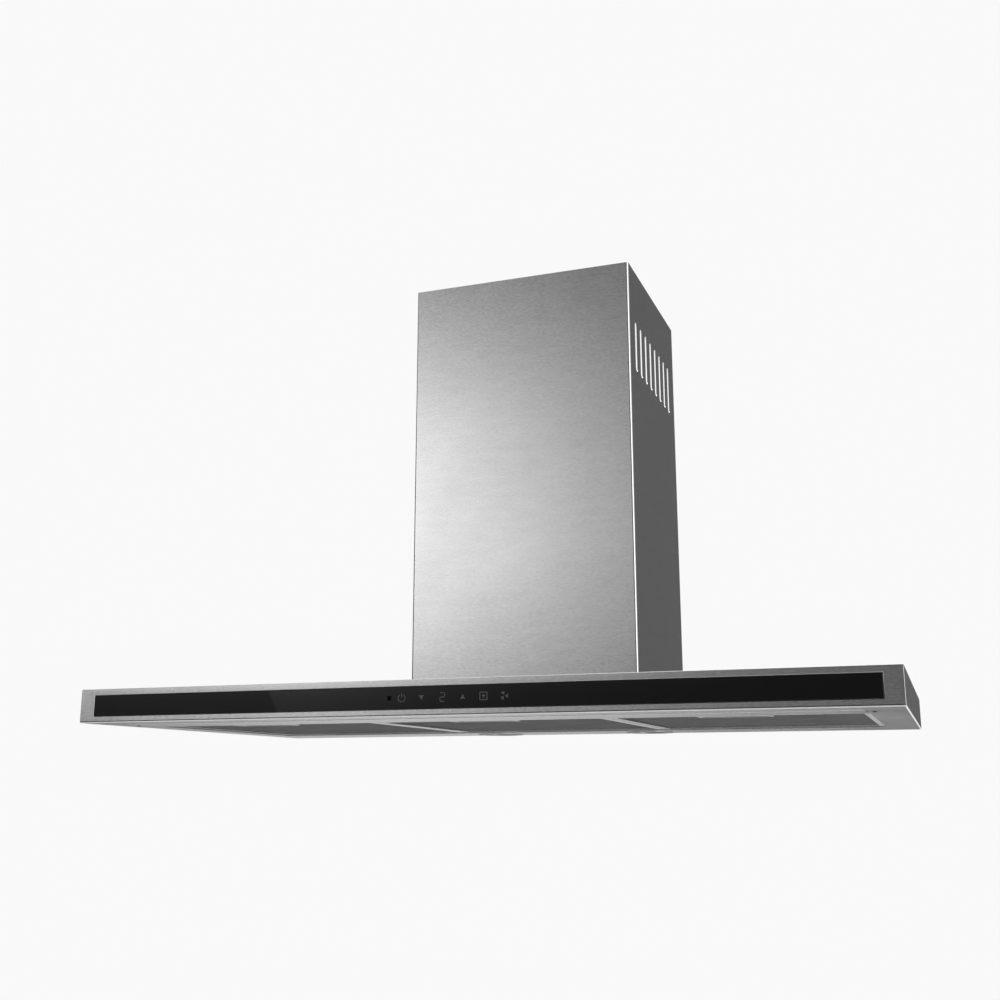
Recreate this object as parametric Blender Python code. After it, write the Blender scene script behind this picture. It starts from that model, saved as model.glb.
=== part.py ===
"""Wall-mounted T-shaped range hood with a slatted chimney cover.

Frame: +X right, +Y towards the wall, +Z up, in metres. The origin lies on the
centre of the canopy's underside. Every separate physical piece is one object,
and the pieces that move have their origin on their joint's axis.
"""
from dataclasses import dataclass
from math import cos, hypot, pi, radians, sin

import bmesh
import bpy
from mathutils import Matrix, Vector

# ---------------------------------------------------------------- driving sizes
CANOPY_WIDTH = 0.900
CANOPY_DEPTH = 0.500
CANOPY_HEIGHT = 0.038
CHIMNEY_WIDTH = 0.292
CHIMNEY_DEPTH = 0.256
CHIMNEY_TOP = 0.579
GAP = 0.0003                    # clearance between pieces that touch

# canopy
SHEET = 0.001
FOLD = 0.0008                   # outer radius of the canopy's folds
FLANGE_FRONT = 0.037
FLANGE_SIDE = 0.038
FLANGE_REAR = 0.085
AIR_OPENING_X = 0.115
AIR_OPENING_Y = (0.012, 0.232)
GLASS_WIDTH = 0.8624
GLASS_HEIGHT = 0.0234
GLASS_THICKNESS = 0.004
GLASS_Z = 0.019                 # centre height of the glass strip
LAMP_X = 0.106
LAMP_Y = 0.214
LAMP_RADIUS = 0.0307

# electronics compartment behind the front
COVER_REAR = -0.153
COVER_LAP = 0.010
COVER_SCREW = (0.4185, -0.181)
KEYS_X = 0.003                  # centre of the row of touch keys
BOARD_HALF = 0.088

# filters
FILTER_WIDTH = 0.2685
FILTER_DEPTH = 0.311
FILTER_HEIGHT = 0.009
FILTER_RIM = 0.0045
FILTER_PITCH = 0.277
FILTER_REAR = 0.163
FILTER_BASE = SHEET + GAP
DIVIDER_X = 0.1385
DIVIDER_WIDTH = 0.007
MESH_Z = (0.0030, 0.0060)
LATCH_WIDTH = 0.077
LATCH_DEPTH = 0.024

# chimney
CHIMNEY_SHEET = 0.0008
CHIMNEY_FOLD = 0.0030
CHIMNEY_PLAY = 0.0005           # sliding clearance between cover and extension
EXTENSION_SPAN = (0.060, 0.436)
SLOT_COUNT = 8
SLOT_WIDTH = 0.011
SLOT_SPAN = (0.443, 0.509)
SLOT_FIRST = 0.028
SLOT_LAST = 0.215
FRAME_TOP = 0.0585

# fan cabinet
CABINET_X = 0.130
CABINET_Y = (0.002, 0.2445)
CABINET_TOP = 0.330
HOOK_X = 0.080
HOOK_Z = 0.299                  # upper face of the wall hooks' tongues

# fan
FAN_Y = 0.096
FAN_Z = 0.160
IMPELLER_RADIUS = 0.070
IMPELLER_HALF = 0.056
BLADE_COUNT = 20
BLADE_INNER = 0.0575
SCROLL_HALF = 0.066
SCROLL_START = radians(115)
SCROLL_END = radians(360)
SCROLL_R = (0.076, 0.112)
INLET_RADIUS = 0.058
MOTOR_RADIUS = 0.042
MOTOR_SPAN = (0.006, 0.072)
SHAFT_RADIUS = 0.004

# outlet
OUTLET_Y = 0.136
OUTLET_RADIUS = 0.075
OUTLET_WALL = 0.003
OUTLET_TOP = 0.395
PIN_Z = 0.346
PIN_RADIUS = 0.002

HALF_W = CANOPY_WIDTH / 2
HALF_D = CANOPY_DEPTH / 2
CHIMNEY_FRONT = HALF_D - CHIMNEY_DEPTH
SIDES = {"left": -1, "right": 1}
FILTER_PLACES = {"left": -FILTER_PITCH, "centre": 0.0, "right": FILTER_PITCH}


# -------------------------------------------------------------------- finishes
@dataclass(frozen=True)
class Finish:
    """Colour, roughness and metallic value of one real material."""

    colour: tuple
    roughness: float
    metallic: float = 0.0


STAINLESS = Finish((0.55, 0.56, 0.57), 0.32, 1.0)
GALVANISED = Finish((0.48, 0.50, 0.52), 0.45, 1.0)
ALUMINIUM = Finish((0.62, 0.63, 0.64), 0.40, 1.0)
DARK_STEEL = Finish((0.20, 0.20, 0.21), 0.45, 1.0)
BLACK_GLASS = Finish((0.01, 0.01, 0.012), 0.06)
BLACK_PLASTIC = Finish((0.03, 0.03, 0.032), 0.50)
GREY_PLASTIC = Finish((0.35, 0.36, 0.37), 0.50)
WHITE_PLASTIC = Finish((0.75, 0.75, 0.73), 0.40)
GREEN_BOARD = Finish((0.02, 0.16, 0.07), 0.45)
FROSTED = Finish((0.80, 0.80, 0.78), 0.30)


# ---------------------------------------------------------------------- shapes
def to_world(axis, first, second, along):
    """Turn a point of the plane across an axis, and a place along it, into X, Y, Z.

    The plane's coordinates are (y, z) across X, (x, z) across Y and (x, y) across Z.
    """
    if axis == "X":
        return (along, first, second)
    if axis == "Y":
        return (first, along, second)
    return (first, second, along)


def circle(radius, segments, centre=(0.0, 0.0)):
    """Points of a circle in a plane."""
    return [
        (centre[0] + radius * cos(2 * pi * i / segments), centre[1] + radius * sin(2 * pi * i / segments))
        for i in range(segments)
    ]


def skin(bm, rings, closed=False):
    """Join equal rings of vertices with quads, and cap the ends unless they close."""
    count = len(rings[0])
    pairs = list(zip(rings, rings[1:]))
    if closed:
        pairs.append((rings[-1], rings[0]))
    for lower, upper in pairs:
        for i in range(count):
            j = (i + 1) % count
            bm.faces.new((lower[i], lower[j], upper[j], upper[i]))
    if not closed:
        bm.faces.new(rings[0])
        bm.faces.new(rings[-1])


@dataclass(frozen=True)
class Box:
    """Rectangular block given by its extent along each axis, with optional rounded edges."""

    x: tuple
    y: tuple
    z: tuple
    bevel: float = 0.0

    def add_to(self, bm):
        """Add the block to a mesh."""
        size = [span[1] - span[0] for span in (self.x, self.y, self.z)]
        middle = [(span[1] + span[0]) / 2 for span in (self.x, self.y, self.z)]
        place = Matrix.Translation(middle) @ Matrix.Diagonal((*size, 1.0))
        made = bmesh.ops.create_cube(bm, size=1.0, matrix=place)
        if self.bevel:
            edges = list({edge for vert in made["verts"] for edge in vert.link_edges})
            bmesh.ops.bevel(bm, geom=edges, offset=self.bevel, segments=2, profile=0.5, affect="EDGES")


@dataclass(frozen=True)
class Prism:
    """Closed outline in the plane across an axis, extruded along that axis."""

    axis: str
    outline: tuple
    span: tuple

    def add_to(self, bm):
        """Add the extruded outline to a mesh."""
        rings = [
            [bm.verts.new(to_world(self.axis, a, b, along)) for a, b in self.outline]
            for along in self.span
        ]
        skin(bm, rings)


@dataclass(frozen=True)
class Tube:
    """Round ring with a bore, along an axis."""

    axis: str
    centre: tuple
    outer: float
    inner: float
    span: tuple
    segments: int = 40

    def add_to(self, bm):
        """Add the ring to a mesh."""
        start, end = self.span
        corners = ((self.inner, start), (self.outer, start), (self.outer, end), (self.inner, end))
        rings = [
            [
                bm.verts.new(to_world(self.axis, a, b, along))
                for a, b in circle(radius, self.segments, self.centre)
            ]
            for radius, along in corners
        ]
        skin(bm, rings, closed=True)


def rod(axis, centre, radius, span, segments=32):
    """Round bar along an axis."""
    return Prism(axis, tuple(circle(radius, segments, centre)), span)


def bar(axis, centre, angle, reach, width, span):
    """Straight spoke that leaves a centre at an angle, between two radii."""
    ahead = Vector((cos(angle), sin(angle)))
    aside = Vector((-sin(angle), cos(angle))) * width / 2
    hub = Vector(centre)
    corners = (
        hub + ahead * reach[0] - aside,
        hub + ahead * reach[1] - aside,
        hub + ahead * reach[1] + aside,
        hub + ahead * reach[0] + aside,
    )
    return Prism(axis, tuple(tuple(corner) for corner in corners), span)


def ribbon(path, thickness):
    """Outline of a sheet of even thickness that follows a path, on the path's right."""
    points = [Vector(point) for point in path]
    offset = []
    for i, point in enumerate(points):
        before = (point - points[i - 1]).normalized() if i else None
        after = (points[i + 1] - point).normalized() if i + 1 < len(points) else None
        before = before or after
        after = after or before
        mean = (before + after).normalized()
        side = Vector((mean.y, -mean.x))
        square = Vector((before.y, -before.x))
        offset.append(point + side * thickness / max(side.dot(square), 0.3))
    return tuple(tuple(point) for point in points + offset[::-1])


def arc(centre, radius, start, end, steps):
    """Points along a circular arc, both ends included."""
    return [
        (
            centre[0] + radius * cos(start + (end - start) * i / steps),
            centre[1] + radius * sin(start + (end - start) * i / steps),
        )
        for i in range(steps + 1)
    ]


def stadium(centre, width, length):
    """Outline of a slot with round ends, long side along the second coordinate."""
    radius = width / 2
    reach = length / 2 - radius
    upper = arc((centre[0], centre[1] + reach), radius, 0.0, pi, 6)
    lower = arc((centre[0], centre[1] - reach), radius, pi, 2 * pi, 6)
    return tuple(upper + lower)


def channel_outline(half_width, front, back, thickness, fold):
    """Plan outline of an open-backed cover: two sides and a front with rounded folds."""
    inner_fold = fold - thickness
    left, right = -half_width + fold, half_width - fold
    outer = [(-half_width, back)]
    outer += arc((left, front + fold), fold, pi, 1.5 * pi, 4)
    outer += arc((right, front + fold), fold, 1.5 * pi, 2 * pi, 4)
    outer += [(half_width, back), (half_width - thickness, back)]
    inner = arc((right, front + fold), inner_fold, 2 * pi, 1.5 * pi, 4)
    inner += arc((left, front + fold), inner_fold, 1.5 * pi, pi, 4)
    inner += [(-half_width + thickness, back)]
    return tuple(outer + inner)


# ---------------------------------------------------------------------- pieces
def mesh_from(name, shapes, pivot=(0.0, 0.0, 0.0)):
    """Build one mesh out of shapes that don't touch each other."""
    bm = bmesh.new()
    for shape in shapes:
        shape.add_to(bm)
    bmesh.ops.recalc_face_normals(bm, faces=bm.faces)
    bmesh.ops.translate(bm, verts=bm.verts, vec=-Vector(pivot))
    mesh = bpy.data.meshes.new(name)
    bm.to_mesh(mesh)
    bm.free()
    mesh.shade_smooth()
    mesh.set_sharp_from_angle(angle=radians(30))
    return mesh


def place(name, mesh, pivot=(0.0, 0.0, 0.0)):
    """Link a mesh to the scene at its pivot."""
    obj = bpy.data.objects.new(name, mesh)
    obj.location = pivot
    bpy.context.scene.collection.objects.link(obj)
    return obj


def paint(obj, finish):
    """Give an object a material of its own."""
    material = bpy.data.materials.new(obj.name)
    material.use_nodes = True
    shader = material.node_tree.nodes["Principled BSDF"]
    shader.inputs["Base Color"].default_value = (*finish.colour, 1.0)
    shader.inputs["Roughness"].default_value = finish.roughness
    shader.inputs["Metallic"].default_value = finish.metallic
    obj.data.materials.append(material)


def cut(*shapes):
    """Boolean step that takes the shapes away."""
    return ("DIFFERENCE", shapes)


def join(*shapes):
    """Boolean step that adds the shapes to the same body."""
    return ("UNION", shapes)


def piece(name, finish, body, *steps, pivot=(0.0, 0.0, 0.0)):
    """Make one named solid from a first shape and its Boolean steps.

    Args:
        name: The object's name.
        finish: The finish of its material.
        body: The shape that the piece starts from.
        steps: Results of cut() and join(), applied in order.
        pivot: The object's origin, on the joint's axis for a moving piece.
    """
    obj = place(name, mesh_from(name, [body], pivot), pivot)
    paint(obj, finish)
    for number, (operation, shapes) in enumerate(steps):
        tool_name = f"{name}_tool_{number}"
        tool = place(tool_name, mesh_from(tool_name, shapes))
        tool.hide_render = True
        tool.display_type = "WIRE"
        modifier = obj.modifiers.new(tool_name, "BOOLEAN")
        modifier.operation = operation
        modifier.object = tool
    return obj


def around(centre, half):
    """Extent of a given half width about a centre."""
    return (centre - half, centre + half)


def above(start, height):
    """Extent that starts a clearance above a level."""
    return (start + GAP, start + GAP + height)


# ---------------------------------------------------------------------- canopy
def canopy_shell():
    """Folded box with an inward flange around its open underside."""
    inside = Box(
        around(0, HALF_W - SHEET), around(0, HALF_D - SHEET), (SHEET, CANOPY_HEIGHT - SHEET)
    )
    underside = Box(
        around(0, HALF_W - FLANGE_SIDE),
        (-HALF_D + FLANGE_FRONT, HALF_D - FLANGE_REAR),
        (-SHEET, 2 * SHEET),
    )
    air = Box(around(0, AIR_OPENING_X), AIR_OPENING_Y, (CANOPY_HEIGHT - 2 * SHEET, CANOPY_HEIGHT + SHEET))
    window = Box(
        around(0, GLASS_WIDTH / 2 + GAP),
        (-HALF_D - SHEET, -HALF_D + 2 * SHEET),
        around(GLASS_Z, GLASS_HEIGHT / 2 + GAP),
    )
    lamps = [rod("Z", (side * LAMP_X, LAMP_Y), LAMP_RADIUS + GAP, (-SHEET, 2 * SHEET)) for side in SIDES.values()]
    screws = [
        rod("Z", (side * COVER_SCREW[0], COVER_SCREW[1]), 0.0034, (-SHEET, 2 * SHEET), 16)
        for side in SIDES.values()
    ]
    outer = Box(around(0, HALF_W), around(0, HALF_D), (0.0, CANOPY_HEIGHT), FOLD)
    piece("canopy_shell", STAINLESS, outer, cut(inside), cut(underside, air, window, *lamps, *screws))


def electronics_cover():
    """Screwed strip under the electronics, with an upright wall towards the filters."""
    plate_z = above(SHEET, SHEET)
    reach = HALF_W - FLANGE_SIDE + COVER_LAP
    front = -HALF_D + FLANGE_FRONT - COVER_LAP
    plate = Box(around(0, reach), (front, COVER_REAR), plate_z)
    wall = Box(around(0, reach), (COVER_REAR - SHEET, COVER_REAR), (plate_z[0], 0.0345))
    screws = [
        rod("Z", (side * COVER_SCREW[0], COVER_SCREW[1]), 0.0019, (0.0, 0.004), 16)
        for side in SIDES.values()
    ]
    notch = Box((-0.020, 0.020), (COVER_REAR - 2 * SHEET, COVER_REAR + SHEET), (0.026, 0.040))
    piece("electronics_cover", STAINLESS, plate, join(wall), cut(notch, *screws))
    for word, side in SIDES.items():
        centre = (side * COVER_SCREW[0], COVER_SCREW[1])
        head = rod("Z", centre, 0.0030, (0.0001, 0.0011), 16)
        shank = rod("Z", centre, 0.0015, (0.0008, 0.0075), 12)
        slot = Box(around(centre[0], 0.0022), around(centre[1], 0.0003), (-0.0005, 0.0005))
        piece(f"cover_screw_{word}", DARK_STEEL, head, join(shank), cut(slot))


def front_panel():
    """Black glass strip, the channel that holds it and the controls behind it."""
    back = -HALF_D + GLASS_THICKNESS
    glass = Box(
        around(0, GLASS_WIDTH / 2), (-HALF_D, back), around(GLASS_Z, GLASS_HEIGHT / 2), 0.0003
    )
    piece("control_glass", BLACK_GLASS, glass)

    channel_y = (back + GAP, back + GAP + 0.012)
    channel_z = (SHEET + GAP, CANOPY_HEIGHT - SHEET - GAP)
    channel = Box(around(0, 0.440), channel_y, channel_z)
    hollow = Box(
        around(0, 0.445), (channel_y[0] + SHEET, 0.0), (channel_z[0] + SHEET, channel_z[1] - SHEET)
    )
    opening = Box(around(KEYS_X, BOARD_HALF + 0.001), (-HALF_D, -0.240), around(GLASS_Z, 0.0105))
    piece("glass_bracket", GALVANISED, channel, cut(hollow), cut(opening))

    housing_front = channel_y[0] + SHEET + GAP
    housing = Box(
        around(KEYS_X, BOARD_HALF + 0.004), (housing_front, housing_front + 0.013), around(GLASS_Z, 0.0125)
    )
    pocket = Box(
        around(KEYS_X, BOARD_HALF + 0.001),
        (housing_front - SHEET, housing_front + 0.0115),
        around(GLASS_Z, 0.0105),
    )
    lead_hole = Box(around(KEYS_X, 0.008), (housing_front, housing_front + 0.020), around(GLASS_Z, 0.004))
    piece("control_housing", BLACK_PLASTIC, housing, cut(pocket), cut(lead_hole))

    board_y = (-0.2438, -0.2422)
    board = Box(around(KEYS_X, BOARD_HALF), board_y, around(GLASS_Z, 0.0098))
    piece("control_board", GREEN_BOARD, board)
    parts_y = (back + GAP, board_y[0] - GAP)
    display = Box(around(-0.001, 0.0048), parts_y, around(GLASS_Z, 0.0068))
    piece("display_module", BLACK_PLASTIC, display)
    receiver = rod("Y", (-0.0605, GLASS_Z), 0.0030, parts_y, 16)
    piece("ir_receiver", BLACK_PLASTIC, receiver)


def supplies():
    """Potted power board and lamp driver that lie on the electronics cover."""
    base = 2 * SHEET + GAP
    power = Box((-0.310, -0.185), (-0.2180, -0.1640), above(base, 0.024), 0.0015)
    piece("power_module", BLACK_PLASTIC, power)
    driver = Box((0.205, 0.300), (-0.2100, -0.1700), above(base, 0.020), 0.0015)
    piece("led_driver", WHITE_PLASTIC, driver)


def lamps():
    """Two recessed lamps in the rear strip of the underside."""
    for word, side in SIDES.items():
        centre = (side * LAMP_X, LAMP_Y)
        can = rod("Z", centre, LAMP_RADIUS, (0.0002, 0.020), 40)
        well = rod("Z", centre, 0.0240, (-0.001, 0.0050), 40)
        inner = rod("Z", centre, 0.0215, (0.0045, 0.0180), 40)
        step = Tube("Z", centre, 0.040, 0.0285, (0.0030, 0.0250), 40)
        piece(f"lamp_housing_{word}", DARK_STEEL, can, cut(step), cut(well), cut(inner))
        lens = rod("Z", centre, 0.0240 - GAP, (0.0016, 0.0046), 40)
        piece(f"lamp_lens_{word}", FROSTED, lens)


def dividers():
    """Two hat-section rails that stiffen the opening between the filters."""
    for word, side in SIDES.items():
        x = side * DIVIDER_X
        rail = Box(
            around(x, DIVIDER_WIDTH / 2),
            (COVER_REAR + GAP, HALF_D - FLANGE_REAR + 0.020),
            above(SHEET, 0.009),
        )
        hollow = Box(
            around(x, DIVIDER_WIDTH / 2 - SHEET),
            (COVER_REAR - SHEET, HALF_D),
            (2 * SHEET + GAP, 0.020),
        )
        piece(f"filter_divider_{word}", STAINLESS, rail, cut(hollow))


# --------------------------------------------------------------------- filters
def grease_filter(word, x):
    """One tilting grease filter: frame, mesh pack and push latch."""
    front = FILTER_REAR - FILTER_DEPTH
    pivot = (x, FILTER_REAR + 0.0005, FILTER_BASE)
    z = (FILTER_BASE, FILTER_BASE + FILTER_HEIGHT)
    outer = Box(around(x, FILTER_WIDTH / 2), (front, FILTER_REAR), z, 0.0006)
    inner = Box(
        around(x, FILTER_WIDTH / 2 - FILTER_RIM),
        (front + FILTER_RIM, FILTER_REAR - FILTER_RIM),
        (-SHEET, 0.020),
    )
    tongue_gap = Box(around(x, 0.0110), (front - SHEET, front + 0.012), (0.0045, 0.0085))
    tabs = [
        Box(around(x + side * 0.080, 0.015), (FILTER_REAR - 0.002, FILTER_REAR + 0.012), (z[0], z[0] + 0.0012))
        for side in SIDES.values()
    ]
    piece(
        f"filter_frame_{word}", ALUMINIUM, outer, cut(inner), cut(tongue_gap), join(*tabs), pivot=pivot
    )

    margin = FILTER_RIM + GAP
    mesh_y = (front + margin, FILTER_REAR - margin)
    pack = Box(around(x, FILTER_WIDTH / 2 - margin), mesh_y, MESH_Z)
    notch = Box(
        around(x, LATCH_WIDTH / 2 + GAP),
        (mesh_y[0] - SHEET, mesh_y[0] + LATCH_DEPTH + GAP),
        (0.0, 0.020),
    )
    piece(f"filter_mesh_{word}", ALUMINIUM, pack, cut(notch), pivot=pivot)

    wall = 0.0015
    tray_y = (mesh_y[0], mesh_y[0] + LATCH_DEPTH)
    tray = Box(around(x, LATCH_WIDTH / 2), tray_y, (0.0018, 0.0095), 0.0004)
    room = Box(
        around(x, LATCH_WIDTH / 2 - wall), (tray_y[0] + wall, tray_y[1] - wall), (0.0027, 0.0085)
    )
    mouth = Box(
        around(x, LATCH_WIDTH / 2 - 0.0035), (tray_y[0] + 0.0035, tray_y[1] - 0.0035), (0.0, 0.0040)
    )
    tongue_slot = Box(around(x, 0.0110), (tray_y[0] - SHEET, tray_y[0] + 2 * wall), (0.0045, 0.0082))
    piece(f"latch_housing_{word}", ALUMINIUM, tray, cut(room), cut(mouth), cut(tongue_slot), pivot=pivot)

    grip_y = (tray_y[0] + wall + GAP, tray_y[0] + 0.0140)
    grip = Box(around(x, 0.0345), grip_y, (0.0030, 0.0056), 0.0004)
    tongue = Box(around(x, 0.0100), (COVER_REAR + 0.0010, grip_y[0] + 0.010), (0.0050, 0.0078))
    finger = Box(around(x, 0.0200), (grip_y[0] + 0.003, grip_y[0] + 0.009), (0.0020, 0.0042))
    latch_pivot = (x, grip_y[0], 0.0043)
    piece(f"latch_slider_{word}", ALUMINIUM, grip, join(tongue), cut(finger), pivot=latch_pivot)


# --------------------------------------------------------------------- chimney
def chimney():
    """Outer cover with louvre slots, sliding extension and the frame they stand on."""
    cover = Prism(
        "Z",
        channel_outline(CHIMNEY_WIDTH / 2, CHIMNEY_FRONT, HALF_D, CHIMNEY_SHEET, CHIMNEY_FOLD),
        (CANOPY_HEIGHT + GAP, CHIMNEY_TOP),
    )
    pitch = (SLOT_LAST - SLOT_FIRST) / (SLOT_COUNT - 1)
    slots = [
        Prism(
            "X",
            stadium(
                (SLOT_FIRST + i * pitch, sum(SLOT_SPAN) / 2), SLOT_WIDTH, SLOT_SPAN[1] - SLOT_SPAN[0]
            ),
            around(0, CHIMNEY_WIDTH),
        )
        for i in range(SLOT_COUNT)
    ]
    piece("chimney_cover", STAINLESS, cover, cut(*slots))

    inset = CHIMNEY_SHEET + CHIMNEY_PLAY
    half = CHIMNEY_WIDTH / 2 - inset
    extension = Prism(
        "Z",
        channel_outline(half, CHIMNEY_FRONT + inset, HALF_D - 0.001, CHIMNEY_SHEET, CHIMNEY_FOLD),
        EXTENSION_SPAN,
    )
    piece("chimney_extension", STAINLESS, extension, pivot=(0.0, CHIMNEY_FRONT + inset, EXTENSION_SPAN[0]))

    frame = Prism(
        "Z",
        channel_outline(half, CHIMNEY_FRONT + inset, HALF_D - 0.001, 0.0012, CHIMNEY_FOLD),
        (CANOPY_HEIGHT + GAP, FRAME_TOP),
    )
    lip_x = (half - 0.0115, half - 0.0005)
    lip_z = (CANOPY_HEIGHT + GAP, CANOPY_HEIGHT + GAP + 0.0012)
    lip_y = (CHIMNEY_FRONT + inset + 0.0006, HALF_D - 0.001)
    right_lip = Box(lip_x, lip_y, lip_z)
    left_lip = Box((-lip_x[1], -lip_x[0]), lip_y, lip_z)
    piece("chimney_locating_frame", GALVANISED, frame, join(right_lip, left_lip))


# ----------------------------------------------------------------- fan cabinet
def fan_cabinet():
    """Folded box around the fan: front and sides, hanging back plate and lid."""
    base = CANOPY_HEIGHT + GAP
    front, back = CABINET_Y
    wrap = Box(around(0, CABINET_X), (front, back - SHEET - GAP), (base, CABINET_TOP))
    inside = Box(
        around(0, CABINET_X - SHEET), (front + SHEET, back - SHEET - GAP - 0.008), (0.0, 0.400)
    )
    mouth = Box(around(0, CABINET_X - 0.012), (0.200, 0.300), (0.0, 0.400))
    piece("fan_cabinet", GALVANISED, wrap, cut(inside), cut(mouth))

    plate = Box(around(0, CABINET_X), (back - SHEET, back), (base, CABINET_TOP))
    windows = [
        Box(around(side * HOOK_X, 0.013), (back - 0.005, back + 0.005), (HOOK_Z - 0.015, HOOK_Z + GAP))
        for side in SIDES.values()
    ]
    piece("fan_cabinet_back", GALVANISED, plate, cut(*windows))

    lid = Box(around(0, CABINET_X), CABINET_Y, above(CABINET_TOP, SHEET))
    outlet = rod("Z", (0.0, OUTLET_Y), 0.065, (0.300, 0.350), 40)
    gland_hole = rod("Z", (-0.100, 0.210), 0.0055, (0.300, 0.350), 16)
    piece("fan_cabinet_lid", GALVANISED, lid, cut(outlet, gland_hole))

    rail_y = (back + 0.0010, HALF_D)
    rail = Box(around(0, 0.115), rail_y, (HOOK_Z - 0.018, HOOK_Z + 0.014))
    tongues = [
        Box(around(side * HOOK_X, 0.010), (back - 0.0065, rail_y[0] + 0.001), (HOOK_Z - 0.003, HOOK_Z))
        for side in SIDES.values()
    ]
    tips = [
        Box(around(side * HOOK_X, 0.010), (back - 0.0065, back - 0.0040), (HOOK_Z - 0.002, HOOK_Z + 0.007))
        for side in SIDES.values()
    ]
    holes = [
        rod("Y", (x, HOOK_Z + 0.004), 0.0028, (0.200, 0.300), 16) for x in (-0.100, -0.035, 0.035, 0.100)
    ]
    piece("wall_bracket", DARK_STEEL, rail, join(*tongues), join(*tips), cut(*holes))


def scroll_radius(angle):
    """Inner radius of the scroll at an angle from +Y towards +Z."""
    share = (angle - SCROLL_START) / (SCROLL_END - SCROLL_START)
    return SCROLL_R[0] + (SCROLL_R[1] - SCROLL_R[0]) * share


def scroll_path(margin, top, steps=28):
    """Path of the scroll's inner face from the outlet's front, round the fan, to its back."""
    turn = []
    for i in range(steps + 1):
        angle = SCROLL_START + (SCROLL_END - SCROLL_START) * i / steps
        radius = scroll_radius(angle) + margin
        turn.append((FAN_Y + radius * cos(angle), FAN_Z + radius * sin(angle)))
    return [(turn[0][0], top)] + turn + [(turn[-1][0], top)]


def fan():
    """Double-inlet centrifugal fan: scroll, inlets, motor and impeller."""
    top = CABINET_TOP - GAP
    centre = (FAN_Y, FAN_Z)
    wrap = Prism("X", ribbon(scroll_path(0.0, top), SHEET), around(0, SCROLL_HALF - GAP))
    piece("scroll_wrap", GALVANISED, wrap)
    for word, side in SIDES.items():
        span = sorted((side * SCROLL_HALF, side * (SCROLL_HALF + SHEET)))
        cheek = Prism("X", tuple(scroll_path(0.003, top)), tuple(span))
        inlet = rod("X", centre, INLET_RADIUS, around(side * SCROLL_HALF, 0.010), 40)
        piece(f"scroll_cheek_{word}", GALVANISED, cheek, cut(inlet))

    thirds = [pi / 2 + 2 * pi * i / 3 for i in range(3)]
    guard_x = (-SCROLL_HALF - SHEET - GAP - 0.002, -SCROLL_HALF - SHEET - GAP)
    rim = Tube("X", centre, 0.066, 0.060, guard_x)
    rings = [Tube("X", centre, radius + 0.0015, radius - 0.0015, guard_x, 32) for radius in (0.022, 0.041)]
    spokes = [bar("X", centre, angle, (0.021, 0.063), 0.004, guard_x) for angle in thirds]
    piece("inlet_guard_left", BLACK_PLASTIC, rim, join(*rings), join(*spokes))

    bracket_x = (-guard_x[1], -guard_x[0])
    clamp = Tube("X", centre, MOTOR_RADIUS + 0.0045, MOTOR_RADIUS + GAP, bracket_x)
    arms = [bar("X", centre, angle, (MOTOR_RADIUS + 0.002, 0.063), 0.012, bracket_x) for angle in thirds]
    right_rim = Tube("X", centre, 0.066, 0.060, bracket_x)
    piece("motor_bracket", GALVANISED, right_rim, join(clamp), join(*arms))

    can = rod("X", centre, MOTOR_RADIUS, MOTOR_SPAN, 40)
    seat = rod("X", centre, 0.0110 + GAP, (0.0, MOTOR_SPAN[0] + 0.0076), 24)
    bore = rod("X", centre, SHAFT_RADIUS + 0.0006, (0.0, 0.040), 20)
    vents = [
        rod("X", (FAN_Y + 0.030 * cos(turn), FAN_Z + 0.030 * sin(turn)), 0.005, (0.066, 0.080), 12)
        for turn in (2 * pi * i / 8 for i in range(8))
    ]
    piece("motor_housing", DARK_STEEL, can, cut(seat, *vents), cut(bore))
    bearing_x = (MOTOR_SPAN[0] + GAP, MOTOR_SPAN[0] + 0.0073)
    piece("motor_bearing", STAINLESS, Tube("X", centre, 0.0110, SHAFT_RADIUS + GAP, bearing_x, 24))

    pivot = (0.0, FAN_Y, FAN_Z)
    piece("motor_shaft", STAINLESS, rod("X", centre, SHAFT_RADIUS, (-0.014, 0.036), 16), pivot=pivot)
    impeller(centre, pivot)


def impeller(centre, pivot):
    """Plastic impeller: hub, middle disc, two end rings and forward-curved blades."""
    disc = Tube("X", centre, IMPELLER_RADIUS, SHAFT_RADIUS + GAP, around(0, 0.0012), 40)
    hub = Tube("X", centre, 0.011, SHAFT_RADIUS + GAP, (-0.012, 0.0040), 24)
    rings = [
        Tube("X", centre, IMPELLER_RADIUS, BLADE_INNER, tuple(sorted((end, end * 0.95))), 40)
        for end in (-IMPELLER_HALF, IMPELLER_HALF)
    ]
    blades = []
    for i in range(BLADE_COUNT):
        turn = 2 * pi * i / BLADE_COUNT
        path = []
        for share, lean in ((0.0, 0.0), (0.5, 0.020), (1.0, 0.075)):
            radius = BLADE_INNER + 0.0008 + (IMPELLER_RADIUS - BLADE_INNER - 0.0016) * share
            angle = turn + lean
            path.append((centre[0] + radius * cos(angle), centre[1] + radius * sin(angle)))
        blades.append(Prism("X", ribbon(path, 0.0012), around(0, IMPELLER_HALF - 0.001)))
    piece("impeller", BLACK_PLASTIC, disc, join(hub), join(*rings), join(*blades), pivot=pivot)


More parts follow.
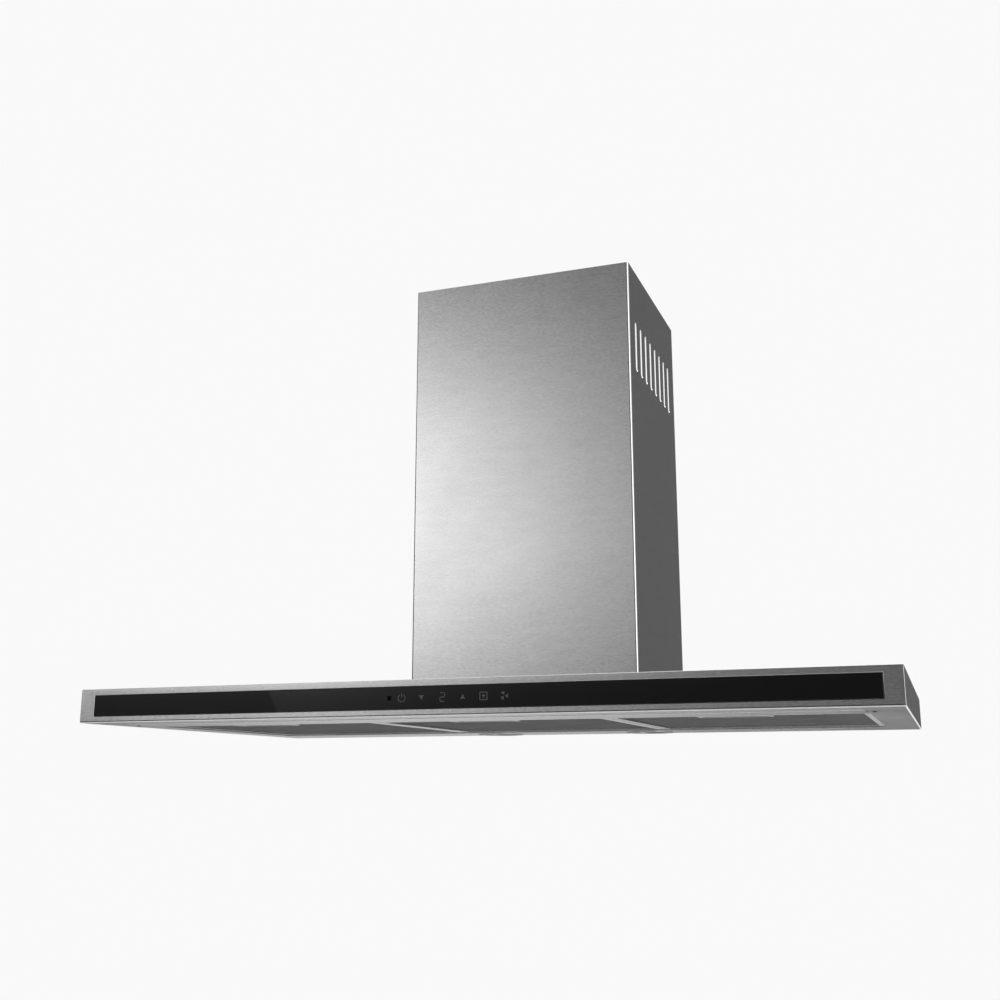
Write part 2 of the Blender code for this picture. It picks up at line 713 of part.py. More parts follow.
def cabinet_fittings():
    """Start capacitor, terminal box and the supply gland."""
    body = rod("Z", (-0.106, 0.040), 0.0150, (0.180, 0.238), 24)
    studs = [rod("Z", (-0.106 + shift, 0.040), 0.0025, (0.236, 0.246), 12) for shift in (-0.006, 0.006)]
    piece("fan_capacitor", WHITE_PLASTIC, body, join(*studs))

    wall_x = -CABINET_X + SHEET + GAP
    box = Box((wall_x, -0.0960), (0.165, 0.225), (0.240, 0.310), 0.0010)
    room = Box((wall_x + 0.002, -0.0900), (0.167, 0.223), (0.242, 0.308))
    entries = [rod("Y", (-0.112, z), 0.0050, (0.150, 0.170), 16) for z in (0.255, 0.275, 0.295)]
    piece("terminal_box", GREY_PLASTIC, box, cut(room), cut(*entries))
    lid = Box((-0.0960 + GAP, -0.0940), (0.165, 0.225), (0.240, 0.310), 0.0004)
    piece("terminal_box_cover", GREY_PLASTIC, lid)

    base = CABINET_TOP + GAP + SHEET + GAP
    place_xy = (-0.100, 0.210)
    flange = rod("Z", place_xy, 0.0110, (base, base + 0.005), 6)
    neck = rod("Z", place_xy, 0.0080, (base + 0.004, base + 0.019), 24)
    bore = rod("Z", place_xy, 0.0048, (0.300, 0.400), 20)
    piece("supply_gland", BLACK_PLASTIC, flange, join(neck), cut(bore))


# ---------------------------------------------------------------------- outlet
def outlet():
    """Duct collar on the lid with two half-disc damper flaps on one pin."""
    base = CABINET_TOP + GAP + SHEET + GAP
    centre = (0.0, OUTLET_Y)
    inner = OUTLET_RADIUS - OUTLET_WALL
    collar = Tube("Z", centre, OUTLET_RADIUS, inner, (base, OUTLET_TOP), 48)
    flange = Tube("Z", centre, OUTLET_RADIUS + 0.010, inner + 0.0015, (base, base + 0.003), 48)
    pin_holes = rod("Y", (0.0, PIN_Z), PIN_RADIUS + GAP, around(OUTLET_Y, 0.090), 16)
    piece("outlet_collar", GREY_PLASTIC, collar, join(flange), cut(pin_holes))
    pin = rod("Y", (0.0, PIN_Z), PIN_RADIUS, around(OUTLET_Y, OUTLET_RADIUS - 0.0005), 16)
    piece("damper_pin", STAINLESS, pin)

    reach = inner - 0.0015
    near = 0.0046
    start = -pi / 2 + 0.066
    for word, side in SIDES.items():
        edge = [(side * reach * cos(a), OUTLET_Y + reach * sin(a)) for a in
                [start + (-2 * start) * i / 24 for i in range(25)]]
        corners = [(side * near, edge[-1][1]), (side * near, edge[0][1])]
        leaf = Prism("Z", tuple(edge + corners), around(PIN_Z, 0.0006))
        knuckles_y = [OUTLET_Y + side * offset for offset in (-0.045, 0.015)]
        knuckles = [
            Tube("Y", (0.0, PIN_Z), 0.0038, PIN_RADIUS + GAP, around(y, 0.010), 20) for y in knuckles_y
        ]
        arms = [
            Box(tuple(sorted((side * 0.0027, side * 0.0060))), around(y, 0.008), around(PIN_Z, 0.0005))
            for y in knuckles_y
        ]
        piece(
            f"damper_flap_{word}",
            ALUMINIUM,
            leaf,
            join(*knuckles),
            join(*arms),
            pivot=(0.0, OUTLET_Y, PIN_Z),
        )


def main():
    """Empty the scene and build every piece of the hood."""
    for obj in list(bpy.data.objects):
        bpy.data.objects.remove(obj, do_unlink=True)
    canopy_shell()
    electronics_cover()
    front_panel()
    supplies()
    lamps()
    dividers()
    for word, x in FILTER_PLACES.items():
        grease_filter(word, x)
    chimney()
    fan_cabinet()
    fan()
    cabinet_fittings()
    outlet()


main()
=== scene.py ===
"""Looks of a wall-mounted T-shaped range hood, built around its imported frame.

Lengths are in metres, in the frame's own axes: +X right, +Y towards the wall and
+Z up, with the origin on the centre of the canopy's underside.
"""

import logging
from collections.abc import Callable, Iterable, Sequence
from dataclasses import dataclass, field
from enum import Enum
from functools import reduce
from math import cos, pi, radians, sin

import bmesh
import bpy
from mathutils import Matrix, Vector


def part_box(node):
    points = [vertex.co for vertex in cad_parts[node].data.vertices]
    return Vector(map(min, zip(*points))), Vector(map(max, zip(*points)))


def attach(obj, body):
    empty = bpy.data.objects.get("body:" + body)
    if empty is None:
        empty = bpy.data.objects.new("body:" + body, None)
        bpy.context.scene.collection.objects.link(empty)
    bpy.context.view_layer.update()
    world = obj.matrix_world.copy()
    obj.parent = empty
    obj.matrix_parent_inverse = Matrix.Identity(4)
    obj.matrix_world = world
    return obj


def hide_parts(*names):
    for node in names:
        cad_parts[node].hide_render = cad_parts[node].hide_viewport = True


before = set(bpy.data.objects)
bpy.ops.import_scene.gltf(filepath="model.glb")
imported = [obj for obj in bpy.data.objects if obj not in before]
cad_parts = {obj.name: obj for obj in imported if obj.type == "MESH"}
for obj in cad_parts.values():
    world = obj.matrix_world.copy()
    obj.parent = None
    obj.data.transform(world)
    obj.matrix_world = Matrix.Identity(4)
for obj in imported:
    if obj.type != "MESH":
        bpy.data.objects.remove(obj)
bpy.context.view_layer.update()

LOG = logging.getLogger("range_hood")
MM = 0.001

WELD = 1e-6
FOLD_STEPS = 8

Point = Sequence[float]
Flat = tuple[float, float]
Piece = bpy.types.Object
Tree = bpy.types.NodeTree
Node = bpy.types.Node
Socket = bpy.types.NodeSocket
Sockets = dict[str | int, object]

# How a round piece made along Z is turned to lie along an axis, and in which order a
# flat outline's two values and its place on the axis make up X, Y and Z.
ROD_TURN = {"X": (0.0, pi / 2, 0.0), "Y": (pi / 2, 0.0, 0.0), "Z": (0.0, 0.0, 0.0)}
PROFILE_TURN = {"X": (0.0, pi / 2, 0.0), "Y": (-pi / 2, 0.0, 0.0), "Z": (0.0, 0.0, 0.0)}
PLATE_ORDER = {"X": (2, 0, 1), "Y": (0, 2, 1), "Z": (0, 1, 2)}


# ------------------------------------------------------------------ hand tools
def select_only(*pieces: Piece) -> None:
    """Deselect everything, then select these pieces and make the first one active.

    Args:
        pieces: The objects to select.
    """
    if bpy.context.object and bpy.context.object.mode != "OBJECT":
        bpy.ops.object.mode_set(mode="OBJECT")
    bpy.ops.object.select_all(action="DESELECT")
    for piece in pieces:
        piece.select_set(True)
    bpy.context.view_layer.objects.active = pieces[0]


def settle(piece: Piece, name: str) -> Piece:
    """Name a piece and put its place and size into its mesh.

    Args:
        piece: The object to finish.
        name: Its new name.

    Returns:
        The same object, unturned and unscaled at the origin.
    """
    select_only(piece)
    bpy.ops.object.transform_apply(location=True, rotation=True, scale=True)
    piece.name = name
    piece.data.name = name
    return piece


def new_primitive(adder: Callable[..., set], **settings: object) -> Piece:
    """Run a primitive operator with everything else deselected.

    Args:
        adder: One of the bpy.ops.mesh primitive operators.
        settings: The operator's own settings.

    Returns:
        The new object.
    """
    if bpy.context.object:
        select_only(bpy.context.object)
        bpy.ops.object.select_all(action="DESELECT")
    adder(**settings)
    return bpy.context.object


def add_block(name: str, low: Point, high: Point) -> Piece:
    """Add a block between two corners, ready to be shaped.

    Args:
        name: The piece's name.
        low: Its lowest corner.
        high: Its highest corner.

    Returns:
        The block.
    """
    middle = [(a + b) / 2 for a, b in zip(low, high)]
    size = [b - a for a, b in zip(low, high)]
    block = new_primitive(bpy.ops.mesh.primitive_cube_add, size=1.0, location=middle, scale=size)
    return settle(block, name)


def add_rod(name: str, axis: str, middle: Point, radius: float, length: float, sides: int = 48) -> Piece:
    """Add a round bar along an axis, ready to be shaped.

    Args:
        name: The piece's name.
        axis: The axis that it lies along.
        middle: Its middle.
        radius: Its radius.
        length: Its length.
        sides: How many flats stand for its round face.

    Returns:
        The bar.
    """
    rod = new_primitive(
        bpy.ops.mesh.primitive_cylinder_add,
        vertices=sides,
        radius=radius,
        depth=length,
        location=middle,
        rotation=ROD_TURN[axis],
    )
    return settle(rod, name)


def add_plate(name: str, outline: Sequence[Point], axis: str, start: float, thickness: float) -> Piece:
    """Extrude a flat outline along an axis.

    Args:
        name: The piece's name.
        outline: Points (y, z) across X, (x, z) across Y or (x, y) across Z.
        axis: The axis that the outline is extruded along.
        start: Where the extrusion starts on that axis.
        thickness: How far it goes, in the axis's own direction.

    Returns:
        The closed plate.
    """
    plate = new_primitive(bpy.ops.mesh.primitive_circle_add, vertices=len(outline), fill_type="NGON")
    for vertex, (first, second) in zip(plate.data.vertices, outline):
        spot = (first, second, start)
        vertex.co = [spot[i] for i in PLATE_ORDER[axis]]
    move = [0.0, 0.0, 0.0]
    move["XYZ".index(axis)] = thickness
    enter_edit(plate)
    bpy.ops.mesh.extrude_region_move(TRANSFORM_OT_translate={"value": move})
    close_skin()
    return settle(plate, name)


def turn_profile(
    name: str, profile: Sequence[Point], centre: Point, axis: str = "Z", steps: int = 64
) -> Piece:
    """Spin a closed profile into a round piece.

    Args:
        name: The piece's name.
        profile: Points (radius, place along the axis) of a closed outline.
        centre: A point on the axis.
        axis: The axis of the spin.
        steps: The number of steps round the turn.

    Returns:
        The turned piece.
    """
    ring = new_primitive(bpy.ops.mesh.primitive_circle_add, vertices=len(profile), fill_type="NOTHING")
    for vertex, (radius, along) in zip(ring.data.vertices, profile):
        vertex.co = (radius, 0.0, along)
    enter_edit(ring)
    bpy.ops.mesh.spin(steps=steps, angle=2 * pi, center=(0.0, 0.0, 0.0), axis=(0.0, 0.0, 1.0))
    bpy.ops.mesh.select_all(action="SELECT")
    bpy.ops.mesh.remove_doubles(threshold=WELD)
    close_skin()
    ring.rotation_euler = PROFILE_TURN[axis]
    ring.location = centre
    return settle(ring, name)


def use_modifier(piece: Piece, kind: str, **settings: object) -> Piece:
    """Add one modifier with its settings and apply it.

    Args:
        piece: The object to change.
        kind: The modifier's type.
        settings: The modifier's own settings.

    Returns:
        The same object.
    """
    select_only(piece)
    modifier = piece.modifiers.new(kind.title(), kind)
    for key, value in settings.items():
        setattr(modifier, key, value)
    bpy.ops.object.modifier_apply(modifier=modifier.name)
    return piece


def carve(piece: Piece, *cutters: Piece) -> Piece:
    """Take the cutters out of a piece and delete them.

    Args:
        piece: The object to cut.
        cutters: Closed objects, which are used up.

    Returns:
        The cut object.
    """
    for cutter in cutters:
        use_modifier(piece, "BOOLEAN", operation="DIFFERENCE", object=cutter)
        bpy.data.objects.remove(cutter, do_unlink=True)
    return piece


def gather(name: str, *parts: Piece) -> Piece:
    """Join parts into one piece.

    Args:
        name: The new piece's name.
        parts: One or more objects, which are used up.

    Returns:
        The joined object.
    """
    select_only(*parts)
    if len(parts) > 1:
        bpy.ops.object.join()
    return settle(bpy.context.object, name)


def soften(piece: Piece, width: float, segments: int = 3, limit: str = "NONE") -> Piece:
    """Round a piece's edges: all of them, or with limit "ANGLE" only the sharp ones."""
    return use_modifier(piece, "BEVEL", width=width, segments=segments, limit_method=limit)


def shade(piece: Piece, angle: float = 40.0) -> Piece:
    """Shade smooth with sharp edges, and keep the flat faces truly flat.

    Args:
        piece: The object to shade.
        angle: Edges sharper than this, in degrees, stay sharp.

    Returns:
        The same object.
    """
    select_only(piece)
    bpy.ops.object.shade_smooth_by_angle(angle=radians(angle))
    return use_modifier(piece, "WEIGHTED_NORMAL", weight=100, keep_sharp=True)


def enter_edit(piece: Piece, action: str = "SELECT") -> None:
    """Enter edit mode on one piece, with all of it selected or, with "DESELECT", none.

    Args:
        piece: The object to edit.
        action: What happens to its selection.
    """
    select_only(piece)
    bpy.ops.object.mode_set(mode="EDIT")
    bpy.ops.mesh.select_all(action=action)


def leave_edit() -> None:
    """Go back to object mode."""
    bpy.ops.object.mode_set(mode="OBJECT")


def close_skin() -> None:
    """Turn every face outwards and go back to object mode."""
    bpy.ops.mesh.select_all(action="SELECT")
    bpy.ops.mesh.normals_make_consistent(inside=False)
    leave_edit()


def roll_edges(piece: Piece, wanted: Callable[[Vector], bool], width: float, segments: int) -> None:
    """Round the edges whose two ends both pass a test.

    Args:
        piece: The object to change.
        wanted: The test of an end's place.
        width: How far the rounding reaches from each edge.
        segments: How many flats it has.
    """
    enter_edit(piece, "DESELECT")
    bpy.ops.mesh.select_mode(type="EDGE")
    mesh = bmesh.from_edit_mesh(piece.data)
    for edge in mesh.edges:
        edge.select = all(wanted(vertex.co) for vertex in edge.verts)
    bmesh.update_edit_mesh(piece.data)
    bpy.ops.mesh.bevel(offset=width, segments=segments, affect="EDGES")
    leave_edit()


def arc(centre: Point, radius: float, start: float, end: float, steps: int) -> list[Flat]:
    """Points along a circular arc in a plane, both ends included."""
    turns = [start + (end - start) * i / steps for i in range(steps + 1)]
    return [(centre[0] + radius * cos(t), centre[1] + radius * sin(t)) for t in turns]


def slot_outline(centre: Point, width: float, length: float, steps: int = 12) -> list[Flat]:
    """Outline of a slot with round ends, its long side along the second coordinate.

    Args:
        centre: Its centre.
        width: Its width.
        length: Its length over the round ends.
        steps: How many flats each end has.

    Returns:
        The outline's points.
    """
    reach = (length - width) / 2
    upper = arc((centre[0], centre[1] + reach), width / 2, 0.0, pi, steps)
    lower = arc((centre[0], centre[1] - reach), width / 2, pi, 2 * pi, steps)
    return upper + lower


def channel_outline(half: float, front: float, back: float, sheet: float, fold: float) -> list[Flat]:
    """Plan of an open-backed cover of folded sheet: two sides and a front.

    Args:
        half: Half its width.
        front: Where its front face stands.
        back: Where its sides end.
        sheet: The sheet's thickness.
        fold: The folds' outer radius.

    Returns:
        The outline's points.
    """
    inner = fold - sheet
    left, right = (-half + fold, front + fold), (half - fold, front + fold)
    outside = [(-half, back)] + arc(left, fold, pi, 1.5 * pi, FOLD_STEPS)
    outside += arc(right, fold, 1.5 * pi, 2 * pi, FOLD_STEPS)
    inside = arc(right, inner, 2 * pi, 1.5 * pi, FOLD_STEPS) + arc(left, inner, 1.5 * pi, pi, FOLD_STEPS)
    return outside + [(half, back), (half - sheet, back)] + inside + [(-half + sheet, back)]


def middle_of(node: str) -> Vector:
    """Centre of a CAD node's box."""
    low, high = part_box(node)
    return (low + high) / 2


# ------------------------------------------------------------------- materials
def linear(code: str) -> tuple[float, float, float, float]:
    """Turn an sRGB hex colour into the linear values that shaders take."""
    parts = [int(code[i : i + 2], 16) / 255 for i in (1, 3, 5)]
    values = [c / 12.92 if c <= 0.04045 else ((c + 0.055) / 1.055) ** 2.4 for c in parts]
    return (*values, 1.0)


def add_node(tree: Tree, kind: str, sockets: Sockets | None = None, **settings: object) -> Node:
    """Add a node with its settings, socket values and links.

    Args:
        tree: The node tree.
        kind: The node's type name.
        sockets: Input name or number to a constant or to another node's output.
        settings: The node's own properties.

    Returns:
        The new node.
    """
    node = tree.nodes.new(kind)
    for key, value in settings.items():
        setattr(node, key, value)
    for key, value in (sockets or {}).items():
        if isinstance(value, Socket):
            tree.links.new(value, node.inputs[key])
        else:
            node.inputs[key].default_value = value
    return node


def calculate(tree: Tree, operation: str, *values: Socket | float) -> Socket:
    """Add one math node and give its result."""
    return add_node(tree, "ShaderNodeMath", dict(enumerate(values)), operation=operation).outputs[0]


def choose(tree: Tree, fac: Socket, first: object, second: object) -> Socket:
    """Pass on the first vector where the factor is 0 and the second where it is 1."""
    return add_node(tree, "ShaderNodeMix", {0: fac, 4: first, 5: second}, data_type="VECTOR").outputs[1]


def add_ramp(tree: Tree, source: Socket, stops: Iterable[tuple]) -> Socket:
    """Add a colour ramp.

    Args:
        tree: The node tree.
        source: The value that runs along the ramp.
        stops: Pairs of a position and a linear colour.

    Returns:
        The colour.
    """
    ramp = add_node(tree, "ShaderNodeValToRGB", {"Fac": source})
    for element, (position, colour) in zip(ramp.color_ramp.elements, stops):
        element.position = position
        element.color = colour
    return ramp.outputs["Color"]


def object_place(tree: Tree, scale: Point = (1.0, 1.0, 1.0)) -> Socket:
    """Object coordinates stretched by a scale along each axis."""
    place = add_node(tree, "ShaderNodeTexCoord").outputs["Object"]
    return add_node(tree, "ShaderNodeMapping", {"Vector": place, "Scale": tuple(scale)}).outputs["Vector"]


def noise(tree: Tree, place: Socket, scale: float, detail: float = 2.0) -> Socket:
    """Smooth noise at a scale, in features per metre of its coordinates."""
    sockets = {"Vector": place, "Scale": scale, "Detail": detail}
    return add_node(tree, "ShaderNodeTexNoise", sockets).outputs["Fac"]


def bump(tree: Tree, shader: Node, height: Socket, depth: float, strength: float) -> None:
    """Raise a pattern by a real depth in metres."""
    node = add_node(tree, "ShaderNodeBump", {"Height": height, "Distance": depth, "Strength": strength})
    tree.links.new(node.outputs["Normal"], shader.inputs["Normal"])


@dataclass(frozen=True)
class Finish:
    """A real material's surface: base colour and Principled constants."""

    name: str
    colour: str
    metallic: float = 0.0
    roughness: float = 0.5
    constants: dict[str, float] = field(default_factory=dict)

    @property
    def material(self) -> bpy.types.Material:
        """The Blender material, made once."""
        return bpy.data.materials.get(self.name) or self.build()

    def build(self) -> bpy.types.Material:
        """Make the Blender material and let the finish draw its pattern.

        Returns:
            The new material.
        """
        material = bpy.data.materials.new(self.name)
        material.use_nodes = True
        tree = material.node_tree
        shader = tree.nodes["Principled BSDF"]
        shader.inputs["Base Color"].default_value = linear(self.colour)
        shader.inputs["Metallic"].default_value = self.metallic
        shader.inputs["Roughness"].default_value = self.roughness
        for key, value in self.constants.items():
            shader.inputs[key].default_value = value
        self.draw(tree, shader)
        return material

    def draw(self, tree: Tree, shader: Node) -> None:
        """Add the pattern of the surface to the material's tree and shader."""
        raise NotImplementedError

    def tint(self, tree: Tree, shader: Node, fac: Socket, spread: float) -> None:
        """Vary the base colour's brightness along a pattern.

        Args:
            tree: The material's node tree.
            shader: Its Principled shader.
            fac: The pattern.
            spread: The share of the brightness by which it goes either way.
        """
        base = Vector(linear(self.colour)[:3])
        stops = [(0.25, (*(base * (1 - spread)), 1.0)), (0.75, (*(base * (1 + spread)), 1.0))]
        tree.links.new(add_ramp(tree, fac, stops), shader.inputs["Base Color"])

    def roughen(self, tree: Tree, shader: Node, fac: Socket, span: float) -> None:
        """Vary the roughness by a span about its own value, along a pattern."""
        rough = calculate(tree, "MULTIPLY_ADD", fac, span, self.roughness - span / 2)
        tree.links.new(rough, shader.inputs["Roughness"])


@dataclass(frozen=True)
class BrushedSteel(Finish):
    """Stainless steel 1.4301, belt-brushed with 240 grit: long level lines.

    The eye sees highlights drawn out across the lines. Real lines are about
    0.15 mm apart; they are drawn 1.4 mm apart, the finest that still shows.
    """

    line_gap: float = 1.4 * MM
    line_length: float = 5.0 * MM
    line_depth: float = 0.02 * MM
    band_share: float = 0.25
    spread: float = 0.115
    line_shine: float = 0.06
    smudge_shine: float = 0.08
    smudges_per_metre: float = 7.0

    def draw(self, tree: Tree, shader: Node) -> None:
        """Draw lines level on upright faces and along X on lying faces.

        Args:
            tree: The material's node tree.
            shader: Its Principled shader.
        """
        along, across = 1 / self.line_length, 1 / self.line_gap
        place = add_node(tree, "ShaderNodeTexCoord")
        normal = add_node(tree, "ShaderNodeSeparateXYZ", {0: place.outputs["Normal"]})
        lying = calculate(tree, "GREATER_THAN", calculate(tree, "ABSOLUTE", normal.outputs["Z"]), 0.7)
        wall, deck = object_place(tree, (along, along, across)), object_place(tree, (along, across, along))
        brushed = choose(tree, lying, wall, deck)
        lines, bands = noise(tree, brushed, 1.0, 1.0), noise(tree, brushed, 0.15, 1.0)
        broad = calculate(tree, "MULTIPLY", bands, self.band_share)
        tone = calculate(tree, "MULTIPLY_ADD", lines, 1 - self.band_share, broad)
        self.tint(tree, shader, tone, self.spread)
        smudge = noise(tree, object_place(tree), self.smudges_per_metre)
        smooth = self.roughness - (self.line_shine + self.smudge_shine) / 2
        sheen = calculate(tree, "MULTIPLY_ADD", smudge, self.smudge_shine, smooth)
        rough = calculate(tree, "MULTIPLY_ADD", lines, self.line_shine, sheen)
        tree.links.new(rough, shader.inputs["Roughness"])
        bump(tree, shader, lines, self.line_depth, 0.12)
        across_lines = choose(tree, lying, (0.0, 0.0, 1.0), (0.0, 1.0, 0.0))
        tree.links.new(across_lines, shader.inputs["Tangent"])


@dataclass(frozen=True)
class GalvanisedSteel(Finish):
    """Hot-dip galvanised sheet: zinc crystals a few millimetres across, each a little different."""

    spangle: float = 4.5 * MM
    spread: float = 0.06
    shine: float = 0.07
    pits_per_metre: float = 900.0

    def draw(self, tree: Tree, shader: Node) -> None:
        """Let the crystals change both the shine and the tone.

        Args:
            tree: The material's node tree.
            shader: Its Principled shader.
        """
        place = object_place(tree)
        sockets = {"Vector": place, "Scale": 1 / self.spangle, "Randomness": 1.0}
        cells = add_node(tree, "ShaderNodeTexVoronoi", sockets)
        tone = add_node(tree, "ShaderNodeSeparateColor", {0: cells.outputs["Color"]})
        self.tint(tree, shader, tone.outputs[0], self.spread)
        self.roughen(tree, shader, tone.outputs[1], self.shine)
        bump(tree, shader, noise(tree, place, self.pits_per_metre), 0.01 * MM, 0.2)


@dataclass(frozen=True)
class SatinMetal(Finish):
    """Pressed or rolled metal with a fine, even satin grain."""

    grain: float = 0.8 * MM
    spread: float = 0.08
    shine: float = 0.14
    marks_per_metre: float = 22.0

    def draw(self, tree: Tree, shader: Node) -> None:
        """Draw fine grain over broad, faint marks of handling.

        Args:
            tree: The material's node tree.
            shader: Its Principled shader.
        """
        place = object_place(tree)
        fine = noise(tree, place, 1 / self.grain)
        self.tint(tree, shader, noise(tree, place, self.marks_per_metre, 3.0), self.spread)
        self.roughen(tree, shader, fine, self.shine)
        bump(tree, shader, fine, 0.015 * MM, 0.15)


@dataclass(frozen=True)
class StackedMesh(Finish):
    """Further layers of expanded aluminium, seen through the front layer as a dim lattice; its near-black
    gaps are painted shade.
    """

    pitch: float = 4.0 * MM
    depth: float = 0.6 * MM
    gap_shade_colour: str = "#141414"

    def draw(self, tree: Tree, shader: Node) -> None:
        """Draw crossed strands over near-black gaps, which are painted shade.

        Args:
            tree: The material's node tree.
            shader: Its Principled shader.
        """
        sockets = {"Vector": object_place(tree), "Scale": 1 / self.pitch}
        lattice = add_node(tree, "ShaderNodeTexVoronoi", sockets, feature="DISTANCE_TO_EDGE")
        cells = lattice.outputs["Distance"]
        # The near-black between the strands is painted shade of the depth inside the filter.
        stops = [(0.06, linear(self.colour)), (0.20, linear(self.gap_shade_colour))]
        tree.links.new(add_ramp(tree, cells, stops), shader.inputs["Base Color"])
        bump(tree, shader, cells, self.depth, 0.8)


@dataclass(frozen=True)
class Glass(Finish):
    """Toughened float glass, painted black on its back: deep, even and mirror-smooth."""

    spread: float = 0.25
    shine: float = 0.01
    dust_per_metre: float = 60.0

    def draw(self, tree: Tree, shader: Node) -> None:
        """Keep the black from being empty, with barely visible waviness and dust.

        Args:
            tree: The material's node tree.
            shader: Its Principled shader.
        """
        dust = noise(tree, object_place(tree), self.dust_per_metre, 4.0)
        self.tint(tree, shader, dust, self.spread)
        self.roughen(tree, shader, dust, self.shine)


@dataclass(frozen=True)
class MouldedPlastic(Finish):
    """Injection-moulded plastic with the mould's spark-eroded grain."""

    grain: float = 0.7 * MM
    spread: float = 0.06
    shine: float = 0.12
    flows_per_metre: float = 30.0

    def draw(self, tree: Tree, shader: Node) -> None:
        """Draw fine grain in the height and a faint flow pattern in the tone.

        Args:
            tree: The material's node tree.
            shader: Its Principled shader.
        """
        place = object_place(tree)
        fine = noise(tree, place, 1 / self.grain)
        self.tint(tree, shader, noise(tree, place, self.flows_per_metre), self.spread)
        self.roughen(tree, shader, fine, self.shine)
        bump(tree, shader, fine, 0.03 * MM, 0.25)


@dataclass(frozen=True)
class Ink(Finish):
    """Ceramic ink printed on glass: matt and even."""

    specks_per_metre: float = 900.0
    spread: float = 0.10

    def draw(self, tree: Tree, shader: Node) -> None:
        """Draw a slight unevenness of the print."""
        specks = noise(tree, object_place(tree), self.specks_per_metre, 1.0)
        self.tint(tree, shader, specks, self.spread)


@dataclass(frozen=True)
class PrismLens(Finish):
    """Frosted polycarbonate lamp lens: milky, with fine concentric prisms."""

    centre: Flat = (0.0, 0.0)
    ring_gap: float = 1.2 * MM
    ring_depth: float = 0.1 * MM
    spread: float = 0.12

    def draw(self, tree: Tree, shader: Node) -> None:
        """Draw rings about the lens's own centre.

        Args:
            tree: The material's node tree.
            shader: Its Principled shader.
        """
        place = add_node(tree, "ShaderNodeTexCoord").outputs["Object"]
        shift = (-self.centre[0], -self.centre[1], 0.0)
        centred = add_node(tree, "ShaderNodeMapping", {"Vector": place, "Location": shift})
        rings = add_node(
            tree,
            "ShaderNodeTexWave",
            {"Vector": centred.outputs[0], "Scale": 1 / (self.ring_gap * 20)},
            wave_type="RINGS",
            rings_direction="Z",
        ).outputs["Fac"]
        self.tint(tree, shader, rings, self.spread)
        bump(tree, shader, rings, self.ring_depth, 0.5)


class Finishes(Enum):
    """Every finish on the hood."""

    STAINLESS = BrushedSteel("brushed_stainless_1_4301", "#D0D0D0", 1.0, 0.20, {"Anisotropic": 0.6})
    # The chimney's stainless with a darker colour: painted shade that makes the canopy read darker than the
    # chimney.
    CANOPY_STEEL = BrushedSteel("brushed_stainless_canopy_shaded", "#C4C4C4", 1.0, 0.20, {"Anisotropic": 0.6})
    ZINC = GalvanisedSteel("galvanised_sheet", "#B4B7BA", 1.0, 0.42)
    ALUMINIUM = SatinMetal("satin_aluminium", "#BEBEBE", 1.0, 0.38)
    MESH = SatinMetal("expanded_aluminium_strands", "#5A5A5A", 1.0, 0.42, {}, 0.5 * MM, 0.15)
    LAYERS = StackedMesh("stacked_aluminium_mesh", "#777777", 0.8, 0.55)
    DARK_STEEL = SatinMetal("black_zinc_steel", "#3C3D3F", 1.0, 0.45)
    RIM = SatinMetal("brushed_nickel_rim", "#8D8D8D", 1.0, 0.30)
    BRIGHT_STEEL = SatinMetal("ground_steel", "#C8C9CB", 1.0, 0.22)
    # Near-white rough steel of the side beads: a painted highlight along the canopy's lower side edges.
    GROUND_WELD = SatinMetal("painted_edge_highlight_steel", "#F2F2F2", 1.0, 0.66)
    BLACK_GLASS = Glass("back_painted_glass", "#040404", 0.0, 0.012, {"IOR": 1.5, "Specular IOR Level": 0.56})
    INK = Ink("printed_grey_ink", "#3E3F42", 0.0, 0.45)
    FILTER_INK = Ink("infrared_filter_ink", "#040404", 0.0, 0.90, {"Specular IOR Level": 0.05})
    BLACK_PLASTIC = MouldedPlastic("black_abs", "#1A1B1C", 0.0, 0.48)
    GREY_PLASTIC = MouldedPlastic("grey_polypropylene", "#6E7174", 0.0, 0.52)
    WHITE_PLASTIC = MouldedPlastic("white_polycarbonate", "#D9D8D3", 0.0, 0.42)
    BOARD = MouldedPlastic("solder_mask", "#0E4A2A", 0.0, 0.40)
    # Near-black matt strip in the hem joint: painted shade of the shadow gap under the canopy's front face.
    FOAM = MouldedPlastic("painted_gap_shade", "#202022", 0.0, 0.85, {}, 1.5 * MM)


def dress(
    piece: Piece,
    finish: Finishes | Finish,
    body: str | None = None,
    nodes: Sequence[str] = (),
) -> Piece:
    """Give a piece its material and its place in the frame.

    Args:
        piece: The finished mesh, or a CAD node's object.
        finish: Its finish.
        body: The body it rides on, or None for a CAD node, which already rides.
        nodes: The CAD nodes that it stands for.

    Returns:
        The same piece.
    """
    surface = finish.value if isinstance(finish, Finishes) else finish
    piece.data.materials.clear()
    piece.data.materials.append(surface.material)
    if body is None:
        LOG.info("%s keeps its CAD shape, in %s", piece.name, surface.name)
        return piece
    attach(piece, body)
    if nodes:
        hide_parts(*nodes)
    LOG.info("%s rides on %s, in %s", piece.name, body, surface.name)
    return piece


def dress_nodes(finish: Finishes, *nodes: str) -> None:
    """Give CAD nodes that keep their shape a finish."""
    for node in nodes:
        dress(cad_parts[node], finish)


